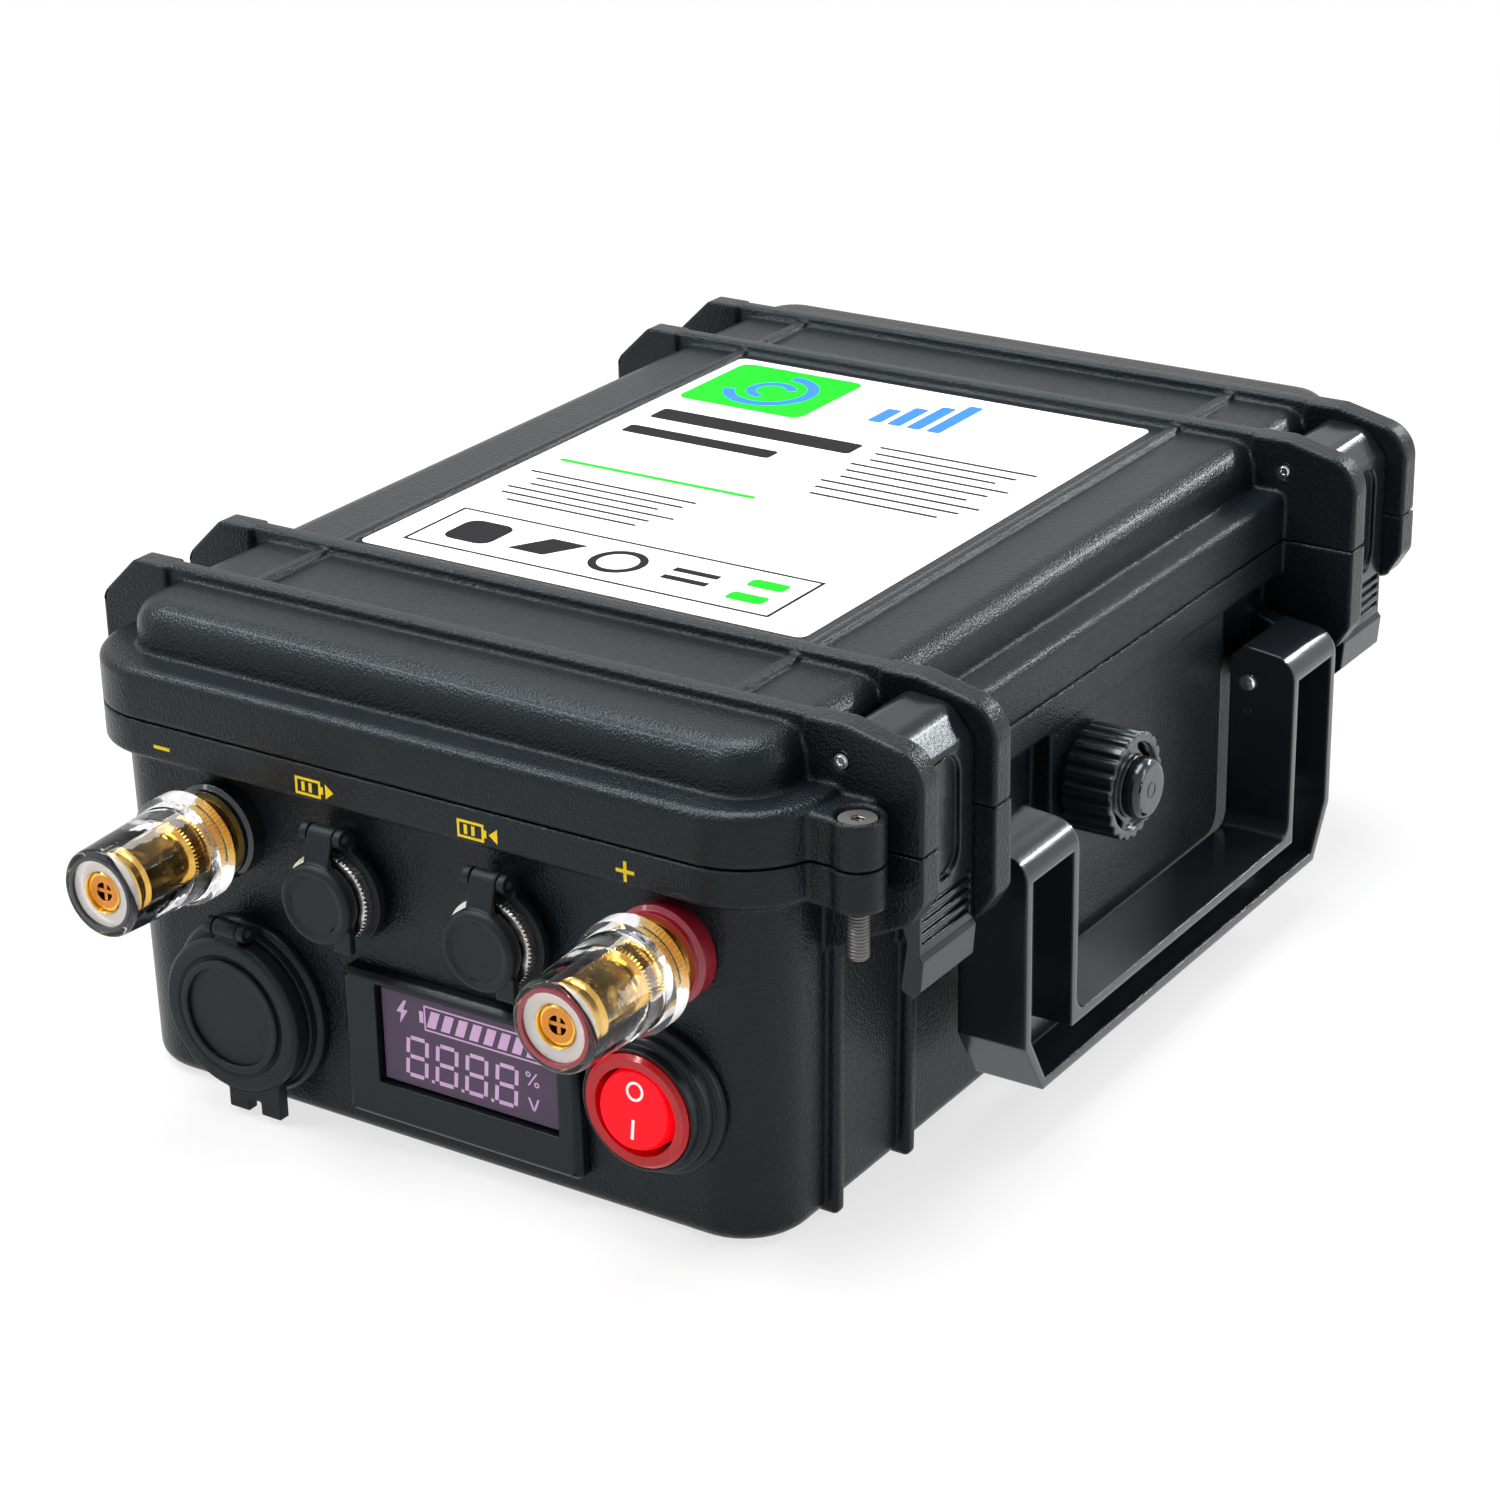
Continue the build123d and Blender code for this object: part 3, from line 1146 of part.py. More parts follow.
with BuildPart() as round_retainers:
    for x in ROUND_X:
        strap_lugs(
            x,
            ROUND_DROP,
            ROUND_PIVOT_UP,
            ROUND_BARREL_R + PIN_FIT,
            ROUND_RING_R,
            ROUND_FLANGE_T,
            ROUND_FLANGE_T + 1.8,
            ROUND_PIN_OUT,
        )
keep(round_retainers, "round_retainers")

for x, use in zip(ROUND_X, ("charge", "output")):
    with BuildPart() as round_cap:
        strap_cap(
            x,
            ROUND_DROP,
            ROUND_PIVOT_UP,
            ROUND_CAP_R,
            ROUND_STUB_R,
            ROUND_STUB_L,
            ROUND_OUT + PART_GAP,
            ROUND_CAP_T,
            ROUND_PIN_OUT,
        )
        # pull tab
        with BuildSketch(on_panel(x, ROUND_DROP, ROUND_OUT + PART_GAP + 0.4)):
            with Locations((5.8, -6.8)):
                Rectangle(4.4, 5.2)
        extrude(amount=1.8)
    keep(round_cap, f"{use}_cap")

# ------------------------------------------------------------ lighter socket
with BuildPart() as lighter_housing:
    turned(
        (
            (0, -LIGHTER_IN),
            (LIGHTER_BARREL_R, -LIGHTER_IN),
            (LIGHTER_BARREL_R, 0),
            (LIGHTER_RING_R, 0),
            (LIGHTER_RING_R, LIGHTER_RING_T - 0.9),
            (LIGHTER_RING_R - 0.9, LIGHTER_RING_T),
            (LIGHTER_LINER_R + PIN_FIT, LIGHTER_RING_T),
            (LIGHTER_LINER_R + PIN_FIT, 3.0 - LIGHTER_IN),
            (0, 3.0 - LIGHTER_IN),
        ),
        LIGHTER_X,
        LIGHTER_DROP,
    )
keep(lighter_housing, "lighter_housing")

with BuildPart() as lighter_liner:
    turned(
        (
            (LIGHTER_BORE_R, 4.0 - LIGHTER_IN),
            (LIGHTER_LINER_R, 4.0 - LIGHTER_IN),
            (LIGHTER_LINER_R, LIGHTER_RING_T),
            (LIGHTER_LINER_R + 0.9, LIGHTER_RING_T),
            (LIGHTER_LINER_R + 0.9, LIGHTER_RING_T + 0.8),
            (LIGHTER_BORE_R, LIGHTER_RING_T + 0.8),
        ),
        LIGHTER_X,
        LIGHTER_DROP,
    )
keep(lighter_liner, "lighter_liner")

with BuildPart() as lighter_contact:
    turned(
        (
            (0, 3.0 - LIGHTER_IN),
            (2.0, 3.0 - LIGHTER_IN),
            (2.0, 6.0 - LIGHTER_IN),
            (5.5, 6.0 - LIGHTER_IN),
            (5.5, 7.0 - LIGHTER_IN),
            (0, 7.0 - LIGHTER_IN),
        ),
        LIGHTER_X,
        LIGHTER_DROP,
    )
keep(lighter_contact, "lighter_contact")

with BuildPart() as lighter_nut:
    turned(
        tube_profile(LIGHTER_BARREL_R + PIN_FIT, LIGHTER_RING_R - 1.5, -WALL - 5.0, -WALL),
        LIGHTER_X,
        LIGHTER_DROP,
    )
keep(lighter_nut, "lighter_nut")

with BuildPart() as lighter_retainer:
    strap_lugs(
        LIGHTER_X,
        LIGHTER_DROP,
        LIGHTER_PIVOT_UP,
        LIGHTER_LINER_R + 1.1,
        LIGHTER_RING_R - 1.6,
        LIGHTER_RING_T,
        LIGHTER_RING_T + 1.5,
        LIGHTER_PIN_OUT,
    )
keep(lighter_retainer, "lighter_retainer")

with BuildPart() as lighter_cap:
    lighter_cap_back = LIGHTER_RING_T + 1.5 + PART_GAP
    strap_cap(
        LIGHTER_X,
        LIGHTER_DROP,
        LIGHTER_PIVOT_UP,
        LIGHTER_CAP_R,
        LIGHTER_STUB_R,
        3.0,
        lighter_cap_back,
        LIGHTER_CAP_T,
        LIGHTER_PIN_OUT,
    )
    # pull tab with two prongs, a little to the right of the foot of the cap
    with BuildSketch(on_panel(LIGHTER_X, LIGHTER_DROP, lighter_cap_back + 0.5)):
        with Locations((4.2, -LIGHTER_CAP_R + 1.5)):
            Rectangle(13.6, 6.0)
        with Locations((0.0, -LIGHTER_CAP_R - 2.6), (8.4, -LIGHTER_CAP_R - 2.6)):
            Rectangle(5.2, 3.6)
    extrude(amount=LIGHTER_CAP_T - 1.4)
keep(lighter_cap, "lighter_cap")

with BuildPart() as cap_pins:
    pin_half = STRAP_W / 2 + SIDE_CLEAR + STRAP_LUG_T
    for x, drop, up, pin_out in (
        (ROUND_X[0], ROUND_DROP, ROUND_PIVOT_UP, ROUND_PIN_OUT),
        (ROUND_X[1], ROUND_DROP, ROUND_PIVOT_UP, ROUND_PIN_OUT),
        (LIGHTER_X, LIGHTER_DROP, LIGHTER_PIVOT_UP, LIGHTER_PIN_OUT),
    ):
        with BuildSketch(Plane(origin=(x, PANEL_Y - pin_out, BASE_H - drop + up), z_dir=(1, 0, 0))):
            Circle(STRAP_PIN_R)
        extrude(amount=pin_half, both=True)
keep(cap_pins, "cap_pins")

# ---------------------------------------------------------------- level meter
with BuildPart() as meter_bezel:
    with BuildSketch(on_panel(METER_X, METER_DROP)):
        RectangleRounded(METER_W, METER_H, 1.8)
    extrude(amount=METER_PROUD)
    chamfer(meter_bezel.faces().sort_by(Axis.Y)[0].edges(), 1.2)
    with BuildSketch(on_panel(METER_X + WINDOW_DX, METER_DROP - WINDOW_DZ, METER_PROUD)) as mouth:
        Rectangle(WINDOW_W + 1.6, WINDOW_H + 1.6)
    with BuildSketch(on_panel(METER_X + WINDOW_DX, METER_DROP - WINDOW_DZ, METER_PROUD - 1.4)) as throat:
        Rectangle(WINDOW_W + 0.2, WINDOW_H + 0.2)
    loft([mouth.sketch, throat.sketch], mode=Mode.SUBTRACT)
    with BuildSketch(on_panel(METER_X + WINDOW_DX, METER_DROP - WINDOW_DZ, METER_PROUD)):
        Rectangle(WINDOW_W + 0.2, WINDOW_H + 0.2)
    extrude(amount=WINDOW_FLOOR - METER_PROUD, mode=Mode.SUBTRACT)
keep(meter_bezel, "meter_bezel")

with BuildPart() as meter_window:
    with BuildSketch(on_panel(METER_X + WINDOW_DX, METER_DROP - WINDOW_DZ, WINDOW_FLOOR)):
        Rectangle(WINDOW_W, WINDOW_H)
    extrude(amount=WINDOW_T)
keep(meter_window, "meter_window")

with BuildPart() as meter_housing:
    with BuildSketch(on_panel(METER_X, METER_DROP)):
        RectangleRounded(METER_W - 6 - 2 * PANEL_FIT, METER_H - 6 - 2 * PANEL_FIT, 1.5)
    extrude(amount=-METER_BODY_D)
keep(meter_housing, "meter_housing")

# --------------------------------------------------------------- power switch
with BuildPart() as switch_bezel:
    turned(
        (
            (SWITCH_BODY_R, 0),
            (SWITCH_BASE_R, 0),
            (SWITCH_BASE_R, 1.8),
            (SWITCH_BASE_R - 0.6, 2.4),
            (SWITCH_STEP_R + 0.6, 2.4),
            (SWITCH_STEP_R + 0.6, 4.4),
            (SWITCH_STEP_R, 5.0),
            (SWITCH_COVER_R + 0.9, 5.0),
            (SWITCH_COVER_R + 0.9, SWITCH_OUT - 1.0),
            (SWITCH_COVER_R + PIN_FIT, SWITCH_OUT - 1.0),
            (SWITCH_COVER_R + PIN_FIT, SWITCH_SEAT),
            (SWITCH_BODY_R, SWITCH_SEAT),
        ),
        SWITCH_X,
        SWITCH_DROP,
    )
keep(switch_bezel, "switch_bezel")

with BuildPart() as switch_cover:
    turned(
        (
            (ROCKER_R + ROCKER_CLEAR, SWITCH_SEAT),
            (SWITCH_COVER_R, SWITCH_SEAT),
            (SWITCH_COVER_R, SWITCH_OUT - 0.8),
            (SWITCH_COVER_R - 0.8, SWITCH_OUT),
            (ROCKER_R + ROCKER_CLEAR, SWITCH_OUT - 0.2),
        ),
        SWITCH_X,
        SWITCH_DROP,
    )
keep(switch_cover, "switch_cover")

# at rest the upper end of the rocker is pressed in
lean = radians(ROCKER_TILT)
rocker_centre = (SWITCH_X, PANEL_Y - ROCKER_OUT, BASE_H - SWITCH_DROP)
rocker_plane = Plane(origin=rocker_centre, x_dir=(1, 0, 0), z_dir=(0, -cos(lean), sin(lean)))
with BuildPart() as rocker_button:
    with BuildSketch(rocker_plane.offset(-ROCKER_BACK)):
        Circle(ROCKER_R)
    extrude(amount=ROCKER_BACK + ROCKER_FRONT)
    with Locations(rocker_centre):
        Sphere(ROCKER_R + 0.2, mode=Mode.INTERSECT)
keep(rocker_button, "rocker_button")

with BuildPart() as switch_body:
    with BuildSketch(on_panel(SWITCH_X, SWITCH_DROP)):
        Circle(SWITCH_BODY_R - PANEL_FIT)
    extrude(amount=-SWITCH_IN)
keep(switch_body, "switch_body")

with BuildPart() as switch_tabs:
    with BuildSketch(on_panel(SWITCH_X, SWITCH_DROP, -SWITCH_IN)):
        with Locations((-TAB_PITCH, 0), (0, 0), (TAB_PITCH, 0)):
            Rectangle(0.8, 6.3)
    extrude(amount=-TAB_L)
keep(switch_tabs, "switch_tabs")


# ------------------------------------------------------------------ cell pack
def at_cells():
    """Places of the cells in the pack."""
    return GridLocations(CELL_PITCH, CELL_PITCH, CELLS_X, CELLS_Y)


with BuildPart() as floor_foam:
    with BuildSketch(Plane.XY.offset(WALL)):
        with Locations((PACK_X, PACK_Y)):
            RectangleRounded(PACK_W, PACK_L, HOLDER_R)
    extrude(amount=FOAM_T - STRIP_T)
keep(floor_foam, "floor_foam")

with BuildPart() as cells:
    with BuildSketch(Plane.XY.offset(CELL_Z)):
        with Locations((PACK_X, PACK_Y)):
            with at_cells():
                Circle(CELL_R)
    extrude(amount=CELL_H)
keep(cells, "cells")

with BuildPart() as cell_holders:
    for low in (CELL_Z, STRIP_Z - HOLDER_T):
        with BuildSketch(Plane.XY.offset(low)):
            with Locations((PACK_X, PACK_Y)):
                RectangleRounded(PACK_W, PACK_L, HOLDER_R)
                with at_cells():
                    Circle(CELL_R + HOLDER_FIT, mode=Mode.SUBTRACT)
        extrude(amount=HOLDER_T)
keep(cell_holders, "cell_holders")

with BuildPart() as bus_strips:
    for low in (CELL_Z - STRIP_T, STRIP_Z):
        with BuildSketch(Plane.XY.offset(low)):
            with Locations((PACK_X, PACK_Y)):
                with GridLocations(CELL_PITCH, 1, CELLS_X, 1):
                    Rectangle(STRIP_W, PACK_L - CELL_PITCH / 2)
        extrude(amount=STRIP_T)
keep(bus_strips, "bus_strips")

# protection board, on edge between the pack and the +X wall
board_x = PACK_X + PACK_W / 2 + 3.0
with BuildPart() as board:
    with BuildSketch(Plane.YZ.offset(board_x)):
        with Locations((PACK_Y, BOARD_Z + BOARD_H / 2)):
            Rectangle(BOARD_L, BOARD_H)
    extrude(amount=BOARD_T)
    # power transistors in a row, and the block that the leads plug into
    with BuildSketch(Plane.YZ.offset(board_x + BOARD_T)):
        with Locations((PACK_Y, BOARD_Z + 16.0)):
            with GridLocations(14.0, 1, 8, 1):
                Rectangle(9.0, 10.0)
    extrude(amount=SINK_GAP)
    with BuildSketch(Plane.YZ.offset(board_x + BOARD_T)):
        with Locations((BLOCK_Y + BLOCK_L / 2, BLOCK_Z)):
            Rectangle(BLOCK_L, BLOCK_H)
    extrude(amount=BLOCK_W)
keep(board, "protection_board")

with BuildPart() as sink:
    with BuildSketch(Plane.YZ.offset(board_x + BOARD_T + SINK_GAP)):
        with Locations((PACK_Y, BOARD_Z + 16.0)):
            Rectangle(BOARD_L - 20.0, 24.0)
    extrude(amount=SINK_T)
keep(sink, "heat_spreader")


# ------------------------------------------------------------------ leads
def lead(corners, radius, bend):
    """Round lead along straight runs joined by tangent bends."""
    with BuildLine() as route:
        FilletPolyline(*corners, radius=bend)
    start = route.line @ 0
    heading = route.line % 0
    with BuildSketch(Plane(origin=start, z_dir=heading)) as section:
        Circle(radius)
    sweep(section.sketch, path=route.line)


with BuildPart() as main_leads:
    lead_start = crimp_low + 1.2
    strip_end = STRIP_Z + STRIP_T + PART_GAP
    for x, drop_x in zip(POST_X, (POST_X[0], POST_X[1] - 15.0)):
        lead(
            (
                (x, crimp_y, lead_start),
                (x, crimp_y, MAIN_LEAD_Z),
                (drop_x, PACK_Y - PACK_L / 2 + 14.0, MAIN_LEAD_Z),
                (drop_x, PACK_Y - PACK_L / 2 + 14.0, strip_end),
            ),
            LEAD_R,
            4.0,
        )
keep(main_leads, "main_leads")

with BuildPart() as signal_leads:
    block_face = BLOCK_Y - PART_GAP
    left_pin = board_x + BOARD_T + 1.8
    right_pin = left_pin + 4.4
    top_pin = BLOCK_Z + 4.2
    low_pin = BLOCK_Z - 4.2
    routes = (
        # each row: where the lead leaves its device, riser Y, pin X, pin height
        ((LIGHTER_X, PANEL_Y + LIGHTER_IN, BASE_H - LIGHTER_DROP + 2.0), -81.8, left_pin, BLOCK_Z),
        ((ROUND_X[0], PANEL_Y + ROUND_IN, BASE_H - ROUND_DROP), -98.0, left_pin, top_pin),
        ((ROUND_X[1], PANEL_Y + ROUND_IN, BASE_H - ROUND_DROP), -105.0, right_pin, top_pin),
        ((METER_X, PANEL_Y + METER_BODY_D, BASE_H - METER_DROP), -112.0, right_pin, BLOCK_Z),
        ((SWITCH_X, PANEL_Y + SWITCH_IN + TAB_L, BASE_H - SWITCH_DROP), -90.0, left_pin, low_pin),
    )
    for leave, riser_y, pin_x, pin_z in routes:
        x, y, z = leave
        lead(
            (
                (x, y + PART_GAP, z),
                (x, riser_y, z),
                (x, riser_y, pin_z),
                (pin_x, riser_y, pin_z),
                (pin_x, block_face, pin_z),
            ),
            SIGNAL_R,
            2.6,
        )
keep(signal_leads, "signal_leads")
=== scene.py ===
"""Looks of a deep cycle battery in a hinged, latched carry case.

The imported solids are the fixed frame.  Each sub-assembly below is a class that
dresses its own solids and builds the surfaces that stand on them.  Lengths in
the dataclass fields are millimetres in the row frame: origin in the middle of
the footprint, +Z up, -Y out of the terminal panel, +X out of the latch side.
The studio's are metres in the same frame.
"""

import logging
import math
from dataclasses import dataclass
from enum import Enum
from functools import cache

import bmesh
import bpy
import numpy as np
from mathutils import Matrix

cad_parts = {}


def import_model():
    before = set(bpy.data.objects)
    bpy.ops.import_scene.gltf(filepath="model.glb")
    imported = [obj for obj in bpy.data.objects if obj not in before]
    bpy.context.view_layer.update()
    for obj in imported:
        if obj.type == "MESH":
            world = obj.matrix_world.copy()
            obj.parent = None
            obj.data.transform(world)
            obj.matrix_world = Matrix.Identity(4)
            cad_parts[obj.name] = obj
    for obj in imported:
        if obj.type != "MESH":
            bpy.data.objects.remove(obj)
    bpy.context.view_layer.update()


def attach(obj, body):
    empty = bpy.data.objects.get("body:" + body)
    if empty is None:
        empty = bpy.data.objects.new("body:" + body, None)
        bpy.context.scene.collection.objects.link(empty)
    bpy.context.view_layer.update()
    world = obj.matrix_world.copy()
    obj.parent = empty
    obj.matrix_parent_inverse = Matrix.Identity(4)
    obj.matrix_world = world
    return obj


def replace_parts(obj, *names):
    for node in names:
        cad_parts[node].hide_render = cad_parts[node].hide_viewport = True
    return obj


MM = 0.001
DOUBLED = 1e-7  # metres between points that are one
SMOOTH_ANGLE = 35.0
EASED_ANGLE = 30.0
EASED_FROM_ANGLE = 32.0
FLAT_WEIGHT = 90
PANEL = -129.8  # Y of the terminal panel
LOG = logging.getLogger("battery")

Socket = bpy.types.NodeSocket
Object = bpy.types.Object
Material = bpy.types.Material
World = bpy.types.World
Pair = tuple[float, float]
Triple = tuple[float, float, float]
Profile = tuple[Pair, ...]
Rings = list[np.ndarray]


# shader wrapper
class Value:
    """One number socket of a shader graph that takes part in arithmetic."""

    def __init__(self, graph: "Graph", socket: Socket) -> None:
        """Keep the graph and the socket."""
        self.graph = graph
        self.socket = socket

    def _maths(self, operation: str, *terms: object) -> "Value":
        """Add one Math node.

        Args:
            operation: the node's operation.
            terms: numbers or values for its inputs, in order.

        Returns:
            The node's result.
        """
        node = self.graph.add("ShaderNodeMath", {"operation": operation}, dict(enumerate(terms)))
        return Value(self.graph, node.outputs[0])

    def __add__(self, other: object) -> "Value":
        """Sum."""
        return self._maths("ADD", self, other)

    def __sub__(self, other: object) -> "Value":
        """Difference."""
        return self._maths("SUBTRACT", self, other)

    def __mul__(self, other: object) -> "Value":
        """Product."""
        return self._maths("MULTIPLY", self, other)

    def __truediv__(self, other: object) -> "Value":
        """Quotient."""
        return self._maths("DIVIDE", self, other)

    def __rsub__(self, other: object) -> "Value":
        """Reflected difference."""
        return self._maths("SUBTRACT", other, self)

    __radd__ = __add__
    __rmul__ = __mul__

    def largest(self, other: object) -> "Value":
        """Greater of two numbers."""
        return self._maths("MAXIMUM", self, other)

    def size(self) -> "Value":
        """Absolute value."""
        return self._maths("ABSOLUTE", self)

    def whole(self) -> "Value":
        """Whole number below."""
        return self._maths("FLOOR", self)


class Graph:
    """Node graph of a material or of the world, with one way to add any node."""

    bevel_samples: int = 6
    turned_away: Pair = (0.01, 0.14)

    def __init__(self, owner: str | World) -> None:
        """Empty the graph of the world, or of a new material of that name."""
        self.owner = bpy.data.materials.new(owner) if isinstance(owner, str) else owner
        self.owner.use_nodes = True
        self.tree = self.owner.node_tree
        self.tree.nodes.clear()
        self.output = self.tree.nodes.new(f"ShaderNodeOutput{type(self.owner).__name__}")
        self.place = self.tree.nodes.new("ShaderNodeTexCoord")
        self.coordinates = self.place.outputs["Object"]

    def add(
        self,
        kind: str,
        settings: dict[str, object] | None = None,
        sockets: dict[object, object] | None = None,
    ) -> bpy.types.Node:
        """Add a node.

        Args:
            kind: Blender's type name.
            settings: attributes, set first; "stops" fills a colour ramp.
            sockets: numbers, colours or links, by input name or index.

        Returns:
            The node.
        """
        node = self.tree.nodes.new(kind)
        for key, value in (settings or {}).items():
            if key == "stops":
                ramp = node.color_ramp
                while len(ramp.elements) < len(value):
                    ramp.elements.new(0.5)
                for element, (place, colour) in zip(ramp.elements, value):
                    element.position = place
                    element.color = (*colour, 1.0)
            else:
                setattr(node, key, value)
        for key, value in (sockets or {}).items():
            self.feed(node.inputs[key], value)
        return node

    def feed(self, target: Socket, value: object) -> None:
        """Link a socket to a value or an output, or set its number or colour."""
        if isinstance(value, Value):
            self.tree.links.new(value.socket, target)
        elif isinstance(value, Socket):
            self.tree.links.new(value, target)
        elif target.type == "RGBA":
            target.default_value = (*value, 1.0)
        else:
            target.default_value = value

    def ramp(self, value: Value, low: float, high: float) -> Value:
        """Smooth step of a value between two limits."""
        sockets = {"Value": value, "From Min": low, "From Max": high}
        node = self.add("ShaderNodeMapRange", {"interpolation_type": "SMOOTHSTEP"}, sockets)
        return Value(self, node.outputs["Result"])

    def axis(self, letter: str, vector: Socket | None = None) -> Value:
        """One number of a vector, or else of the object coordinates in metres."""
        node = self.add("ShaderNodeSeparateXYZ", None, {0: vector or self.coordinates})
        return Value(self, node.outputs[letter])

    def seen(self) -> Value:
        """1 for rays of the camera, mirrors and clear plastic, and 0 for other light."""
        path = self.add("ShaderNodeLightPath")
        kinds = ("Camera", "Glossy", "Transmission")
        camera, glossy, clear = (Value(self, path.outputs[f"Is {kind} Ray"]) for kind in kinds)
        return camera.largest(glossy).largest(clear)

    def stretched(self, scale: Triple) -> Socket:
        """Object coordinates with their own scale on each axis."""
        sockets = {"Vector": self.coordinates, "Scale": scale}
        return self.add("ShaderNodeMapping", None, sockets).outputs[0]

    def noise(
        self, size: float, detail: float = 2.0, roughness: float = 0.5, vector: Socket | None = None
    ) -> Value:
        """Noise with features of about a size in millimetres, from 0 to 1."""
        sockets = {"Vector": vector or self.coordinates, "Scale": 1.0 / (size * MM)}
        sockets |= {"Detail": detail, "Roughness": roughness}
        return Value(self, self.add("ShaderNodeTexNoise", None, sockets).outputs[0])

    def cells(self, size: float) -> Value:
        """Distance inside rounded cells of about a size in millimetres."""
        sockets = {"Vector": self.coordinates, "Scale": 1.0 / (size * MM), "Smoothness": 0.6}
        node = self.add("ShaderNodeTexVoronoi", {"feature": "SMOOTH_F1"}, sockets)
        return Value(self, node.outputs["Distance"])

    def blend(self, share: object, first: object, second: object) -> Socket:
        """Mix two colours by a share."""
        node = self.add("ShaderNodeMix", {"data_type": "RGBA"}, {0: share})
        self.feed(node.inputs[6], first)
        self.feed(node.inputs[7], second)
        return node.outputs[2]

    def bump(self, height: Value, depth: float, normal: Socket | None = None) -> Socket:
        """Normal from a height of a depth in millimetres, over another normal."""
        sockets = {"Height": height, "Distance": depth * MM}
        if normal is not None:
            sockets["Normal"] = normal
        return self.add("ShaderNodeBump", None, sockets).outputs[0]

    def rounded(self, radius: float) -> Socket:
        """Normal of the surface as if its edges had a radius in millimetres."""
        node = self.add("ShaderNodeBevel", {"samples": self.bevel_samples}, {"Radius": radius * MM})
        return node.outputs[0]

    def edges(self, rounded: Socket) -> Value:
        """How near an edge is, from 0 to 1.

        Args:
            rounded: normal with rounded edges.

        Returns:
            One less the dot product of that normal and the surface's own.
        """
        own = self.add("ShaderNodeNewGeometry").outputs["Normal"]
        dot = {"operation": "DOT_PRODUCT"}
        node = self.add("ShaderNodeVectorMath", dot, {0: rounded, 1: own})
        return self.ramp(1.0 - Value(self, node.outputs["Value"]), *self.turned_away)

    def principled(self, **sockets: object) -> bpy.types.Node:
        """Add a Principled shader.

        Args:
            sockets: its inputs, with underscores for the spaces in their names.

        Returns:
            The shader.
        """
        named = {key.replace("_", " "): value for key, value in sockets.items()}
        return self.add("ShaderNodeBsdfPrincipled", None, named)

    def close(self, shader: bpy.types.Node) -> Material | World:
        """Send a shader to the surface, and give back what owns the graph."""
        self.tree.links.new(shader.outputs[0], self.output.inputs["Surface"])
        return self.owner

    def finish(self, **sockets: object) -> Material:
        """Close a material's graph with a Principled shader."""
        return self.close(self.principled(**sockets))


def toned(colour: Triple, share: float, lift: float = 0.0) -> Triple:
    """A share of a colour plus a lift, up to 1."""
    return tuple(min(1.0, c * share + lift) for c in colour)


# finishes
@dataclass(frozen=True)
class Moulded:
    """Moulded plastic or rubber: grain, cloudy gloss and faint scuffs."""

    name: str
    colour: Triple
    roughness: float
    grain: float = 0.0
    grain_size: float = 0.9
    coat: float = 0.0
    glow: float = 0.0
    specular: float = 0.42
    edge: float = 0.3

    def build(self) -> Material:
        """Make the material.

        Returns:
            A plastic whose leather grain is cells over noise, on a skin that
            waves slowly, with edges that are rounded, made glossier and painted
            lighter as a painted highlight, more so on scuffs.
        """
        graph = Graph(self.name)
        cloud = graph.noise(34.0, 3.0)
        speck = graph.noise(0.35)
        scuff = graph.noise(2.6, 5.0, 0.7, graph.stretched((1.0, 0.35, 2.2)))
        worn = graph.ramp(scuff, 0.66, 0.74)
        share = graph.ramp(cloud, 0.3, 0.75) * 0.4 + worn * 0.12
        soft = graph.rounded(self.edge)
        # edge mask: edges get a painted highlight in their colour and a lower roughness
        edge_highlight = graph.edges(soft)
        base = graph.blend(share, self.colour, toned(self.colour, 1.4, 0.004))
        # painted highlight: the lighter colour painted along edges, strongest where scuffed
        painted_highlight_colour = toned(self.colour, 2.4, 0.012)
        base = graph.blend(edge_highlight * (worn * 0.5 + 0.5), base, painted_highlight_colour)
        rough = cloud * 0.10 + worn * 0.10 + speck * 0.06 + (self.roughness - 0.10)
        rough = rough - edge_highlight * 0.13
        height = graph.noise(9.0) * 0.25
        if self.grain > 0:
            pits = graph.noise(self.grain_size * 0.6) * 0.5
            leather = graph.cells(self.grain_size) * 1.1 + pits
            height = height + leather * self.grain
        return graph.finish(
            Base_Color=base,
            Roughness=rough,
            Normal=graph.bump(height, 0.12, soft),
            Coat_Weight=self.coat,
            Coat_Roughness=0.10,
            Specular_IOR_Level=self.specular,
            Specular_Tint=(0.80, 0.94, 1.0),
            Emission_Color=self.colour,
            Emission_Strength=self.glow,
        )


@dataclass(frozen=True)
class Metal:
    """Plated or turned metal with fine turning lines and dull patches."""

    name: str
    colour: Triple
    roughness: float
    lines: float = 0.3
    tarnish: float = 0.15

    def build(self) -> Material:
        """Make the material.

        Returns:
            A metal whose turning lines are noise drawn out across the axis.
        """
        graph = Graph(self.name)
        drawn = graph.noise(0.25, 2.0, 0.5, graph.stretched((0.15, 2.5, 0.15)))
        dull = graph.ramp(graph.noise(3.0, 4.0, 0.6), 0.45, 0.75)
        base = graph.blend(dull * self.tarnish, self.colour, toned(self.colour, 0.55))
        rough = dull * 0.14 + drawn * 0.08 + (self.roughness - 0.04)
        return graph.finish(
            Base_Color=base,
            Metallic=1.0,
            Roughness=rough,
            Normal=graph.bump(drawn, 0.02 * self.lines),
        )


